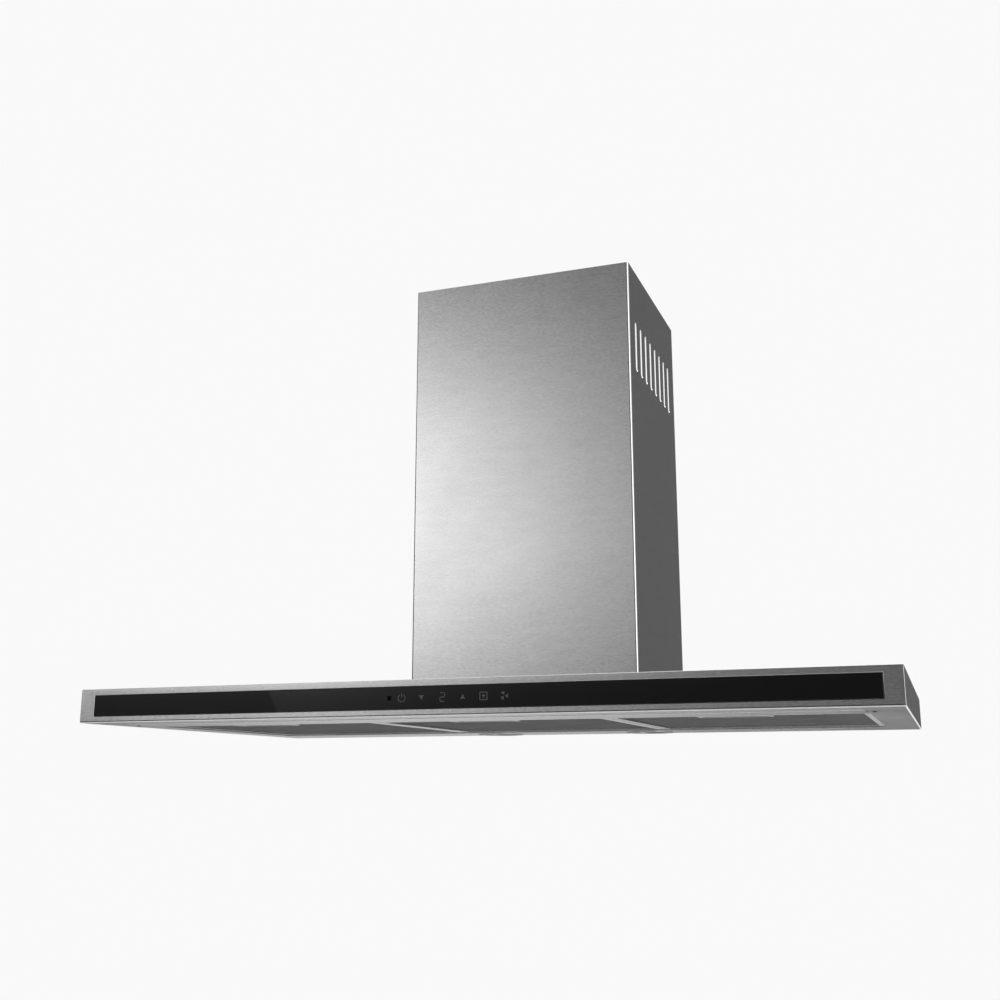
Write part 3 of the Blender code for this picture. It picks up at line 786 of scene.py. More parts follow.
# ---------------------------------------------------------------------- canopy
@dataclass
class Canopy:
    """Folded canopy with its glass strip, controls, underside panels and lamps."""

    sheet: float = 1.0 * MM
    fold: float = 0.6 * MM
    flange_front: float = 37.0 * MM
    flange_side: float = 38.0 * MM
    flange_rear: float = 85.0 * MM
    hem: float = 1.15 * MM
    hem_low: float = 1.25 * MM
    hem_gap: float = 0.75 * MM
    bead: float = 0.85 * MM
    panel_drop: float = 0.6 * MM
    panel_lap: float = 10.0 * MM
    lamp_hole: float = 31.0 * MM
    lamp_rim: float = 30.7 * MM
    lamp_bore: float = 24.0 * MM
    lamp_can: float = 28.4 * MM
    screw_hole: float = 3.4 * MM
    screw_bore: float = 1.9 * MM
    air_x: float = 115.0 * MM
    air_y: tuple[float, float] = (12.0 * MM, 232.0 * MM)
    window_gap: float = 0.35 * MM

    def build(self) -> None:
        """Make and dress every piece of the canopy."""
        self.build_body()
        self.build_hem_gap_shade()
        self.build_side_beads()
        self.build_cover()
        self.build_controls()
        self.build_screws()
        for side in ("left", "right"):
            self.build_lamp(side)
        dress_nodes(Finishes.STAINLESS, "filter_divider_left", "filter_divider_right")
        dress_nodes(Finishes.ZINC, "glass_bracket")
        dress_nodes(Finishes.BLACK_PLASTIC, "control_housing", "display_module", "ir_receiver")
        dress_nodes(Finishes.BLACK_PLASTIC, "power_module")
        dress_nodes(Finishes.WHITE_PLASTIC, "led_driver")
        dress_nodes(Finishes.BOARD, "control_board")

    def build_body(self) -> None:
        """Folded box: rolled edges, flanged underside, window, lamp and screw holes."""
        low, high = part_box("canopy_shell")
        body = add_block("canopy_body", low, high)
        roll_edges(body, lambda end: end.y < 0 and end.z < self.hem_low, self.hem, 6)
        fold = {"width": self.fold, "segments": 5, "limit_method": "ANGLE", "angle_limit": radians(60)}
        use_modifier(body, "BEVEL", **fold)
        s = self.sheet
        inside = add_block("cut", low + Vector((s, s, s)), high - Vector((s, s, s)))
        opening = add_block(
            "cut",
            (low.x + self.flange_side, low.y + self.flange_front, -s),
            (high.x - self.flange_side, high.y - self.flange_rear, 2 * s),
        )
        air = add_block(
            "cut", (-self.air_x, self.air_y[0], high.z - 2 * s), (self.air_x, self.air_y[1], high.z + s)
        )
        glass_low, glass_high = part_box("control_glass")
        gap = self.window_gap
        window = add_block(
            "cut",
            (glass_low.x - gap, low.y - s, glass_low.z - gap),
            (glass_high.x + gap, low.y + 2 * s, glass_high.z + gap),
        )
        hem = add_block(
            "cut",
            (low.x + 2 * s, low.y - s, self.hem_low),
            (high.x - 2 * s, low.y + 0.8 * s, self.hem_low + self.hem_gap),
        )
        cutters = [inside, opening, air, window, hem]
        for side in ("left", "right"):
            lamp, screw = middle_of(f"lamp_housing_{side}"), middle_of(f"cover_screw_{side}")
            cutters.append(add_rod("cut", "Z", (lamp.x, lamp.y, 0.0), self.lamp_hole, 4 * s, 96))
            cutters.append(add_rod("cut", "Z", (screw.x, screw.y, 0.0), self.screw_hole, 4 * s, 32))
        carve(body, *cutters)
        margin = Vector((gap, 0, gap))
        self.roll_window(body, glass_low - margin, glass_high + margin)
        shade(body)
        # The canopy's steel is darkened as painted shade.
        dress(body, Finishes.CANOPY_STEEL, "hood", ["canopy_shell"])

    def build_hem_gap_shade(self) -> None:
        """Near-black strip in the joint under the front face: painted shade of the shadow gap above the hem.
        """
        low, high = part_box("canopy_shell")
        s, play = self.sheet, 0.02 * MM
        # This strip is painted shade: it darkens the hem joint where only a shadow gap is.
        strip = add_block(
            "gap_shade_strip",
            (low.x + 2 * s + play, low.y + 0.12 * MM, self.hem_low + play),
            (high.x - 2 * s - play, low.y + 0.75 * s, self.hem_low + self.hem_gap - play),
        )
        soften(strip, 0.08 * MM, 2)
        gap_shade_strip = gather("hem_gap_shade", strip)
        shade(gap_shade_strip)
        dress(gap_shade_strip, Finishes.FOAM, "hood")

    def build_side_beads(self) -> None:
        """Pale, rough beads along the lower side edges, where the flange meets the side: their near-white
        colour is a painted highlight.
        """
        low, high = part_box("canopy_shell")
        inset, length = 0.6 * MM, high.y - low.y - 3.0 * MM
        beads = []
        for x in (low.x + inset, high.x - inset):
            rod = add_rod("bead", "Y", (x, (low.y + high.y) / 2, inset), self.bead, length, 24)
            beads.append(soften(rod, 0.3 * MM, 2, "ANGLE"))
        # The beads' pale colour paints the bright line of the side edges' highlight.
        highlight_beads = gather("side_edge_highlights", *beads)
        shade(highlight_beads)
        dress(highlight_beads, Finishes.GROUND_WELD, "hood")

    def roll_window(self, body: Piece, window_low: Vector, window_high: Vector) -> None:
        """Round the window's front edge, so that it catches a thin line of light.

        Args:
            body: The canopy's folded box.
            window_low: The window's lower left corner.
            window_high: Its upper right corner.
        """
        near = 0.05 * MM
        front = min(vertex.co.y for vertex in body.data.vertices)

        def at_window(end: Vector) -> bool:
            """True for a place on the front face at the window's outline."""
            in_x = window_low.x - near < end.x < window_high.x + near
            in_z = window_low.z - near < end.z < window_high.z + near
            return abs(end.y - front) < near and in_x and in_z

        roll_edges(body, at_window, 0.45 * MM, 3)

    def build_cover(self) -> None:
        """Cover of the electronics: a flat lap, a pressed-down face and an upright wall."""
        low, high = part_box("electronics_cover")
        s, gap, lap = self.sheet, 0.4 * MM, self.panel_lap
        plate = add_block("cover", (low.x, low.y, low.z), (high.x, high.y, low.z + s))
        face = add_block(
            "face",
            (low.x + lap + gap, low.y + lap + gap, -self.panel_drop),
            (high.x - lap - gap, high.y, low.z + s / 2),
        )
        soften(face, 0.25 * MM)
        wall = add_block("wall", (low.x, high.y - s, low.z), (high.x, high.y, high.z))
        for part in (face, wall):
            use_modifier(plate, "BOOLEAN", operation="UNION", object=part)
            bpy.data.objects.remove(part, do_unlink=True)
        notch = add_block("cut", (-0.020, high.y - 2 * s, 0.026), (0.020, high.y + s, 0.040))
        holes = []
        for side in ("left", "right"):
            screw = middle_of(f"cover_screw_{side}")
            holes.append(add_rod("cut", "Z", (screw.x, screw.y, low.z), self.screw_bore, 4 * s, 24))
        cover = carve(settle(plate, "cover_panel"), notch, *holes)
        shade(cover)
        dress(cover, Finishes.STAINLESS, "hood", ["electronics_cover"])

    def build_controls(self) -> None:
        """Black glass with its printed keys and the receiver's dark window."""
        dress_nodes(Finishes.BLACK_GLASS, "control_glass")
        low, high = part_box("control_glass")
        KeyRow(low.y + 0.01 * MM, (low.z + high.z) / 2).build()

    def build_screws(self) -> None:
        """Pan-head screws that hold the electronics cover."""
        for side in ("left", "right"):
            node = f"cover_screw_{side}"
            low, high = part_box(node)
            centre = middle_of(node)
            start, top = -1.0 * MM, high.z
            profile = [(0.0, start), (1.2 * MM, start + 0.05 * MM), (2.0 * MM, start + 0.3 * MM)]
            profile += [(2.4 * MM, start + 0.8 * MM), (2.4 * MM, 1.1 * MM), (1.5 * MM, 1.1 * MM)]
            profile += [(1.4 * MM, top), (0.0, top)]
            screw = turn_profile(f"cover_bolt_{side}", profile, (centre.x, centre.y, 0.0), steps=32)
            slots = [
                add_block(
                    "cut",
                    (centre.x - a, centre.y - b, start - 0.5 * MM),
                    (centre.x + a, centre.y + b, start + 0.7 * MM),
                )
                for a, b in ((1.4 * MM, 0.3 * MM), (0.3 * MM, 1.4 * MM))
            ]
            carve(screw, *slots)
            shade(screw)
            dress(screw, Finishes.DARK_STEEL, "hood", [node])

    def build_lamp(self, side: str) -> None:
        """Recessed lamp: rolled rim, deep can and ringed lens over its emitters.

        Args:
            side: Which of the two lamps, "left" or "right".
        """
        low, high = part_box(f"lamp_housing_{side}")
        centre = middle_of(f"lamp_housing_{side}")
        rim, bore, can, top, drop = self.lamp_rim, self.lamp_bore, self.lamp_can, high.z - low.z, 1.2 * MM
        profile = [(bore, 1.3 * MM)]
        profile += arc((bore + 1.2 * MM, 1.2 * MM - drop), 1.2 * MM, pi, 1.5 * pi, 5)[1:]
        profile += arc((rim - 0.6 * MM, 0.6 * MM - drop), 0.6 * MM, 1.5 * pi, 2 * pi, 5)
        profile += [(rim, 2.8 * MM), (can, 2.8 * MM), (can, top - 2 * MM), (can - 2 * MM, top), (0.0, top)]
        profile += [(0.0, top - 1.5 * MM), (21.0 * MM, top - 1.5 * MM)]
        profile += [(21.5 * MM, 4.9 * MM), (bore, 4.9 * MM)]
        housing = turn_profile(f"lamp_rim_{side}", profile, (centre.x, centre.y, low.z), steps=96)
        shade(housing)
        dress(housing, Finishes.RIM, "hood", [f"lamp_housing_{side}"])

        lens_low, lens_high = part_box(f"lamp_lens_{side}")
        radius, thick = (lens_high.x - lens_low.x) / 2, lens_high.z - lens_low.z
        lens_profile = [(0.0, 0.0), (radius * 0.5, 0.12 * MM), (radius - 1.2 * MM, 0.5 * MM)]
        lens_profile += [(radius, 1.0 * MM), (radius, thick), (0.0, thick)]
        lens = turn_profile(f"lamp_glass_{side}", lens_profile, (centre.x, centre.y, lens_low.z), steps=96)
        shade(lens)
        finish = PrismLens(f"frosted_lens_{side}", "#B9B8B2", 0.0, 0.30, {}, (centre.x, centre.y))
        dress(lens, finish, "hood", [f"lamp_lens_{side}"])


@dataclass
class KeyRow:
    """Printed touch keys and digit on the glass strip, at the glass's face and middle level."""

    face: float
    level: float
    thickness: float = 0.06 * MM
    stroke: float = 0.9 * MM

    def build(self) -> None:
        """Print the symbols and the receiver's window."""
        parts = self.power(-46.5 * MM) + self.arrow(-24.2 * MM, -1) + self.digit(-0.9 * MM)
        parts += self.arrow(21.6 * MM, 1) + self.lamp(44.2 * MM) + self.fan(66.6 * MM)
        dress(gather("key_symbols", *parts), Finishes.INK, "hood")
        window = self.print_shape(self.rectangle(-60.5 * MM, 0.0, 2.2 * MM, 2.4 * MM))
        dress(gather("receiver_window", window), Finishes.FILTER_INK, "hood")

    def print_shape(self, outline: Sequence[Point]) -> Piece:
        """Lay one closed outline on the glass."""
        return add_plate("ink", outline, "Y", self.face - self.thickness, self.thickness)

    def rectangle(self, x: float, z: float, half_x: float, half_z: float) -> list[Flat]:
        """Outline of a rectangle about a point of the key row."""
        left, right, low, high = x - half_x, x + half_x, z + self.level - half_z, z + self.level + half_z
        return [(left, low), (right, low), (right, high), (left, high)]

    def ring_part(self, x: float, z: float, radius: float, start: float, end: float) -> Piece:
        """Part of a ring of even stroke.

        Args:
            x: The ring's centre along the row.
            z: Its centre above the row.
            radius: Its outer radius.
            start: The angle where it starts.
            end: The angle where it ends.

        Returns:
            The printed piece.
        """
        centre = (x, z + self.level)
        outer = arc(centre, radius, start, end, 24)
        inner = arc(centre, radius - self.stroke, end, start, 24)
        return self.print_shape(outer + inner)

    def power(self, x: float) -> list[Piece]:
        """Open ring with an upright stroke."""
        ring = self.ring_part(x, 0.0, 4.4 * MM, pi / 2 + 0.55, 2.5 * pi - 0.55)
        return [ring, self.print_shape(self.rectangle(x, 2.4 * MM, self.stroke / 2, 2.2 * MM))]

    def arrow(self, x: float, up: int) -> list[Piece]:
        """Solid triangle that points up or down."""
        half, reach = 2.9 * MM, 2.4 * MM * up
        points = [(x - half, self.level - reach), (x + half, self.level - reach), (x, self.level + reach)]
        return [self.print_shape(points)]

    def digit(self, x: float) -> list[Piece]:
        """Seven-segment figure two.

        Args:
            x: The figure's place along the row.

        Returns:
            The printed pieces.
        """
        wide, tall, gap = 2.6 * MM, 4.3 * MM, 0.25 * MM
        bars = [self.rectangle(x, level, wide - gap, self.stroke / 2) for level in (tall, 0.0, -tall)]
        bars.append(self.rectangle(x + wide, tall / 2, self.stroke / 2, tall / 2 - gap * 2))
        bars.append(self.rectangle(x - wide, -tall / 2, self.stroke / 2, tall / 2 - gap * 2))
        return [self.print_shape(bar) for bar in bars]

    def lamp(self, x: float) -> list[Piece]:
        """Lamp shade over its ray, in a square frame.

        Args:
            x: The symbol's place along the row.

        Returns:
            The printed pieces.
        """
        half = 4.3 * MM
        edge = half - self.stroke / 2
        frame_bars = [self.rectangle(x, side * edge, half, self.stroke / 2) for side in (-1, 1)]
        frame_bars += [
            self.rectangle(x + side * edge, 0.0, self.stroke / 2, half - self.stroke) for side in (-1, 1)
        ]
        parts = [self.print_shape(bar) for bar in frame_bars]
        centre = (x, self.level - 0.4 * MM)
        parts.append(self.print_shape(arc(centre, 2.0 * MM, 0.0, pi, 16)))
        parts.append(self.print_shape(self.rectangle(x, -1.7 * MM, 1.2 * MM, 0.35 * MM)))
        return parts

    def fan(self, x: float) -> list[Piece]:
        """Three fan blades round a hub.

        Args:
            x: The symbol's place along the row.

        Returns:
            The printed pieces.
        """
        parts = []
        for turn in (pi / 2 + 2 * pi * i / 3 for i in range(3)):
            hub = (x + 0.7 * MM * cos(turn), self.level + 0.7 * MM * sin(turn))
            blade = [hub] + arc((x, self.level), 4.4 * MM, turn - 0.10, turn + 0.95, 10)
            parts.append(self.print_shape(blade))
        return parts


# --------------------------------------------------------------------- filters
@dataclass
class GreaseFilter:
    """One tilting cassette: folded rim, expanded mesh, stacked layers and latch."""

    place: str
    rim: float = 4.5 * MM
    outer_rim: float = 2.2 * MM
    cell: tuple[float, float] = (9.0 * MM, 4.2 * MM)
    strand: float = 0.75 * MM
    crown: float = 0.35 * MM
    latch_drop: float = 0.15 * MM
    latch_lip: float = 3.5 * MM
    tab_length: float = 12.0 * MM
    tab_place: float = 80.0 * MM
    tongue_half: float = 11.0 * MM

    @property
    def body(self) -> str:
        """The CAD body that the cassette rides on."""
        return f"filter_{self.place}"

    def build(self) -> None:
        """Make and dress the cassette and its latch."""
        self.build_rim()
        self.build_mesh()
        self.build_latch()

    def build_rim(self) -> None:
        """Folded aluminium rim with mitred corners and two rear tabs."""
        node = f"filter_frame_{self.place}"
        low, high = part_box(node)
        rear = high.y - self.tab_length
        rim = add_block("rim", low, (high.x, rear, high.z))
        soften(rim, 0.8 * MM)
        width = self.rim
        left, right = (width + (self.outer_rim if self.place == side else 0.0) for side in ("left", "right"))
        hole = add_block(
            "cut", (low.x + left, low.y + width, low.z - MM), (high.x - right, rear - width, high.z + MM)
        )
        middle = middle_of(node)
        tongue = add_block(
            "cut",
            (middle.x - self.tongue_half, low.y - MM, 4.5 * MM),
            (middle.x + self.tongue_half, low.y + width + MM, 8.5 * MM),
        )
        mitres = [self.mitre(corner, spin, low.z) for corner, spin in self.corners(low, high, rear)]
        carve(rim, hole, tongue, *mitres)
        tabs = []
        for side in (-1, 1):
            x, half = middle.x + side * self.tab_place, 15 * MM
            piece = add_block("tab", (x - half, rear - 2 * MM, low.z), (x + half, high.y, low.z + 1.2 * MM))
            soften(piece, 0.4 * MM, 2)
            tabs.append(piece)
        frame_piece = gather(f"filter_rim_{self.place}", rim, *tabs)
        shade(frame_piece)
        dress(frame_piece, Finishes.ALUMINIUM, self.body, [node])

    def corners(self, low: Vector, high: Vector, rear: float) -> list[tuple[Flat, float]]:
        """Each corner of the rim with the direction of its mitre.

        Args:
            low: The rim's lowest corner.
            high: Its highest corner.
            rear: Where its rear side ends.

        Returns:
            Pairs of a corner and an angle.
        """
        return [
            ((low.x, low.y), pi / 4),
            ((high.x, low.y), 3 * pi / 4),
            ((high.x, rear), 5 * pi / 4),
            ((low.x, rear), 7 * pi / 4),
        ]

    def mitre(self, corner: Flat, spin: float, floor: float) -> Piece:
        """Thin cutter that scores a mitre line across a corner's lower face.

        Args:
            corner: The rim's corner.
            spin: The direction of the line.
            floor: The level of the rim's lower face.

        Returns:
            The cutter.
        """
        reach, half = self.rim * 1.42, 0.15 * MM
        ahead, aside = Vector((cos(spin), sin(spin))), Vector((-sin(spin), cos(spin))) * half
        start, end = Vector(corner), Vector(corner) + ahead * reach
        outline = [start - aside, end - aside, end + aside, start + aside]
        return add_plate("cut", [tuple(p) for p in outline], "Z", floor - MM, MM + 0.3 * MM)

    def build_mesh(self) -> None:
        """Front layer of expanded metal as real strands, with the next layers behind it."""
        node = f"filter_mesh_{self.place}"
        low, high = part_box(node)
        size = high - low
        columns, rows = round(size.x / self.cell[0]), round(size.y / self.cell[1])
        grid = new_primitive(
            bpy.ops.mesh.primitive_grid_add,
            x_subdivisions=columns,
            y_subdivisions=rows,
            size=1.0,
            location=((low.x + high.x) / 2, (low.y + high.y) / 2, low.z + 0.6 * MM),
        )
        grid.scale = (size.x, size.y, 1.0)
        settle(grid, "mesh")
        enter_edit(grid)
        bpy.ops.mesh.poke()
        self.drop_grid_edges(grid)
        leave_edit()
        use_modifier(grid, "WIREFRAME", thickness=self.strand, use_even_offset=False, use_replace=True)
        carve(grid, self.latch_cutter())
        select_only(grid)
        bpy.ops.object.shade_smooth_by_angle(angle=radians(30))
        dress(gather(f"filter_weave_{self.place}", grid), Finishes.MESH, self.body, [node])

        layers = add_block(
            "layers", (low.x, low.y, low.z + 1.5 * MM), (high.x, high.y, low.z + 6.0 * MM)
        )
        soften(layers, 0.5 * MM, 2)
        carve(layers, self.latch_cutter())
        shade(layers)
        dress(gather(f"filter_layers_{self.place}", layers), Finishes.LAYERS, self.body)

    def latch_cutter(self) -> Piece:
        """Block that clears the mesh from the latch's place."""
        low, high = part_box(f"latch_housing_{self.place}")
        gap = 0.3 * MM
        return add_block("cut", (low.x - gap, low.y - 3 * MM, -0.01), (high.x + gap, high.y + gap, 0.05))

    def drop_grid_edges(self, grid: Piece) -> None:
        """Turn poked squares into diamonds and raise alternate corners, as the slitting press does.

        Args:
            grid: The poked grid, in edit mode.
        """
        mesh = bmesh.from_edit_mesh(grid.data)
        centres = {vertex.index for vertex in mesh.verts if self.is_poked(vertex)}
        for edge in mesh.edges:
            edge.select = not any(vertex.index in centres for vertex in edge.verts) and not edge.is_boundary
        for vertex in mesh.verts:
            vertex.co.z += self.crown if vertex.index in centres else -self.crown
        bmesh.update_edit_mesh(grid.data)
        bpy.ops.mesh.dissolve_edges(use_verts=False)

    @staticmethod
    def is_poked(vertex: bmesh.types.BMVert) -> bool:
        """True for a vertex that sits inside four triangles made by poking one square."""
        four = len(vertex.link_edges) == len(vertex.link_faces) == 4
        return four and all(len(face.verts) == 3 for face in vertex.link_faces)

    def build_latch(self) -> None:
        """Pressed tray with rolled lips and a sliding finger grip."""
        node = f"latch_housing_{self.place}"
        low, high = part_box(node)
        tray = add_block("tray", (low.x, low.y, -self.latch_drop), high)
        soften(tray, 1.0 * MM, 4)
        lip = self.latch_lip
        room = add_block(
            "cut",
            (low.x + 1.5 * MM, low.y + 1.5 * MM, 1.4 * MM),
            (high.x - 1.5 * MM, high.y - 1.5 * MM, high.z - 1.0 * MM),
        )
        mouth = add_block("cut", (low.x + lip, low.y + lip, -0.01), (high.x - lip, high.y - lip, 3.0 * MM))
        soften(mouth, 1.0 * MM, 4)
        middle = middle_of(node)
        slot = add_block(
            "cut",
            (middle.x - self.tongue_half, low.y - MM, 4.5 * MM),
            (middle.x + self.tongue_half, low.y + 3 * MM, 8.2 * MM),
        )
        carve(tray, room, mouth, slot)
        shade(tray)
        dress(gather(f"latch_tray_{self.place}", tray), Finishes.ALUMINIUM, self.body, [node])

        slider = f"latch_slider_{self.place}"
        low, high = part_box(slider)
        grip_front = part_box(node)[0].y + 1.8 * MM
        grip = add_block("grip", (low.x, grip_front, 2.6 * MM), (high.x, high.y, 5.6 * MM))
        pad_front, pad_rear = grip_front + 2.5 * MM, grip_front + 9.8 * MM
        pad = add_block("pad", (low.x + lip, pad_front, 0.2 * MM), (high.x - lip, pad_rear, 3.0 * MM))
        soften(pad, 0.5 * MM)
        soften(grip, 0.6 * MM)
        finger = add_rod("cut", "Z", (middle.x, (pad_front + pad_rear) / 2, 0.2 * MM), 2.7 * MM, 2.4 * MM, 48)
        ridges = [
            add_rod(
                "cut",
                "X",
                (middle.x + side * 17 * MM, pad_front + (1.65 + 2.0 * i) * MM, 0.1 * MM),
                0.7 * MM,
                18 * MM,
                16,
            )
            for side in (-1, 1)
            for i in range(3)
        ]
        carve(pad, finger, *ridges)
        half = self.tongue_half - MM
        tongue_end = (middle.x + half, grip_front + 10 * MM, 7.8 * MM)
        tongue = add_block("tongue", (middle.x - half, low.y, 5.0 * MM), tongue_end)
        soften(tongue, 0.7 * MM)
        handle = gather(f"latch_grip_{self.place}", grip, pad, tongue)
        shade(handle)
        dress(handle, Finishes.ALUMINIUM, f"latch_{self.place}", [slider])


# --------------------------------------------------------------------- chimney
@dataclass
class Chimney:
    """Folded chimney cover with louvre slots, its extension and locating frame."""

    sheet: float = 0.8 * MM
    fold: float = 3.0 * MM
    slot_count: int = 8
    slot_width: float = 11.0 * MM
    slot_span: tuple[float, float] = (443.0 * MM, 509.0 * MM)
    slot_places: tuple[float, float] = (28.0 * MM, 215.0 * MM)

    def build(self) -> None:
        """Make and dress the chimney."""
        cover = self.folded_sheet("chimney_skin", "chimney_cover")
        pitch = (self.slot_places[1] - self.slot_places[0]) / (self.slot_count - 1)
        height = self.slot_span[1] - self.slot_span[0]
        level = sum(self.slot_span) / 2
        cutters = [
            add_plate(
                "cut",
                slot_outline((self.slot_places[0] + i * pitch, level), self.slot_width, height),
                "X",
                -0.2,
                0.4,
            )
            for i in range(self.slot_count)
        ]
        carve(cover, *cutters)
        shade(cover)
        dress(cover, Finishes.STAINLESS, "hood", ["chimney_cover"])
        extension = self.folded_sheet("chimney_upper_skin", "chimney_extension")
        shade(extension)
        dress(extension, Finishes.STAINLESS, "chimney_slide", ["chimney_extension"])
        dress_nodes(Finishes.ZINC, "chimney_locating_frame")

    def folded_sheet(self, name: str, node: str) -> Piece:
        """One U-shaped sheet with rolled folds, the size of its CAD node."""
        low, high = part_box(node)
        outline = channel_outline(high.x, low.y, high.y, self.sheet, self.fold)
        return add_plate(name, outline, "Z", low.z, high.z - low.z)


# ----------------------------------------------------------------- fan cabinet
@dataclass
class FanCabinet:
    """Galvanised cabinet with its fasteners, wall bracket, outlet and gland."""

    hook_place: float = 80.0 * MM
    hook_shelf: float = 299.0 * MM
    rail_depth: float = 4.5 * MM
    rail_holes: tuple[float, ...] = (-0.100, -0.035, 0.035, 0.100)
    bead_levels: tuple[float, ...] = (95.0 * MM, 145.0 * MM, 195.0 * MM)
    duct_outer: float = 75.0 * MM
    duct_inner: float = 72.0 * MM
    duct_flange: float = 85.0 * MM
    duct_ribs: int = 8
    flap_reach: float = 70.3 * MM
    gland_bore: float = 4.9 * MM
    gland_ridges: int = 12
    screw_ring: float = 80.5 * MM

    def build(self) -> None:
        """Make and dress the cabinet, fan and outlet."""
        dress_nodes(Finishes.ZINC, "fan_cabinet", "fan_cabinet_lid", "scroll_wrap")
        dress_nodes(Finishes.ZINC, "scroll_cheek_left", "scroll_cheek_right", "motor_bracket")
        dress_nodes(Finishes.DARK_STEEL, "motor_housing")
        dress_nodes(Finishes.BRIGHT_STEEL, "motor_shaft", "motor_bearing", "damper_pin")
        dress_nodes(Finishes.BLACK_PLASTIC, "impeller", "inlet_guard_left")
        dress_nodes(Finishes.WHITE_PLASTIC, "fan_capacitor")
        dress_nodes(Finishes.GREY_PLASTIC, "terminal_box", "terminal_box_cover")
        self.build_back()
        self.build_wall_bracket()
        self.build_collar()
        self.build_gland()
        for side in ("left", "right"):
            self.build_flap(side)
        self.build_fasteners()

    def build_back(self) -> None:
        """Back plate with hook windows and pressed stiffening beads."""
        low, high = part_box("fan_cabinet_back")
        plate = add_block("plate", low, high)
        half = 13 * MM
        windows = [
            add_block("cut", (x - half, low.y - MM, 284 * MM), (x + half, high.y + MM, 299.3 * MM))
            for x in (-self.hook_place, self.hook_place)
        ]
        carve(plate, *windows)
        beads = []
        for level in self.bead_levels:
            bead = add_rod("bead", "X", (0.0, high.y - 0.6 * MM, level), 5.0 * MM, 190 * MM, 32)
            squeeze = Matrix.Diagonal((1.0, 0.22, 1.0, 1.0))
            about = Matrix.Translation((0.0, high.y - 0.6 * MM, level))
            bead.data.transform(about @ squeeze @ about.inverted())
            soften(bead, 0.5 * MM, 3, "ANGLE")
            beads.append(bead)
        back = gather("cabinet_back_panel", plate, *beads)
        shade(back)
        dress(back, Finishes.ZINC, "hood", ["fan_cabinet_back"])

    def build_wall_bracket(self) -> None:
        """Bent steel rail with two hooks and four screw holes."""
        low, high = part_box("wall_bracket")
        rail_front = high.y - self.rail_depth
        rail = add_block("rail", (low.x, rail_front, low.z), (high.x, high.y, high.z))
        soften(rail, 1.2 * MM)
        holes = [
            add_rod("cut", "Y", (x, rail_front, low.z + 22 * MM), 2.8 * MM, 30 * MM, 32)
            for x in self.rail_holes
        ]
        carve(rail, *holes)
        parts = [rail]
        for side in (-1, 1):
            x, shelf = side * self.hook_place, self.hook_shelf
            outline = [
                (low.y, shelf - 3 * MM),
                (rail_front + MM, shelf - 3 * MM),
                (rail_front + MM, shelf),
                (low.y + 2.5 * MM, shelf),
                (low.y + 2.5 * MM, shelf + 7 * MM),
                (low.y, shelf + 7 * MM),
            ]
            hook = add_plate("hook", outline, "X", x - 10 * MM, 20 * MM)
            soften(hook, 0.5 * MM, 2, "ANGLE")
            parts.append(hook)
        bracket = gather("wall_rail", *parts)
        shade(bracket)
        dress(bracket, Finishes.DARK_STEEL, "hood", ["wall_bracket"])

    def build_collar(self) -> None:
        """Moulded outlet collar with a flange, ribs round its foot and a chamfered mouth."""
        low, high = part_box("outlet_collar")
        centre = middle_of("outlet_collar")
        outer, inner, flange = self.duct_outer, self.duct_inner, self.duct_flange
        top = high.z - low.z
        profile = [(inner, 0.0), (flange - 0.6 * MM, 0.0), (flange, 0.6 * MM), (flange, 2.4 * MM)]
        profile += [(flange - 0.6 * MM, 3.0 * MM), (outer + 1.5 * MM, 3.0 * MM), (outer, 4.5 * MM)]
        profile += [(outer, top - 0.8 * MM), (outer - 0.8 * MM, top)]
        profile += [(inner + 0.8 * MM, top), (inner, top - 0.8 * MM)]
        collar = turn_profile("duct_collar", profile, (centre.x, centre.y, low.z), steps=128)
        pin = middle_of("damper_pin")
        carve(collar, add_rod("cut", "Y", pin, 2.4 * MM, 200 * MM, 32))
        ribs = []
        for i in range(self.duct_ribs):
            turn = 2 * pi * (i + 0.5) / self.duct_ribs
            rib = add_plate(
                "rib",
                [(outer - MM, 2.5 * MM), (flange - 2 * MM, 2.5 * MM), (outer - MM, 12.0 * MM)],
                "Y",
                -0.8 * MM,
                1.6 * MM,
            )
            base = Matrix.Translation((centre.x, centre.y, low.z))
            rib.data.transform(base @ Matrix.Rotation(turn, 4, "Z"))
            ribs.append(rib)
        piece = gather("duct_collar", collar, *ribs)
        shade(piece)
        dress(piece, Finishes.GREY_PLASTIC, "hood", ["outlet_collar"])

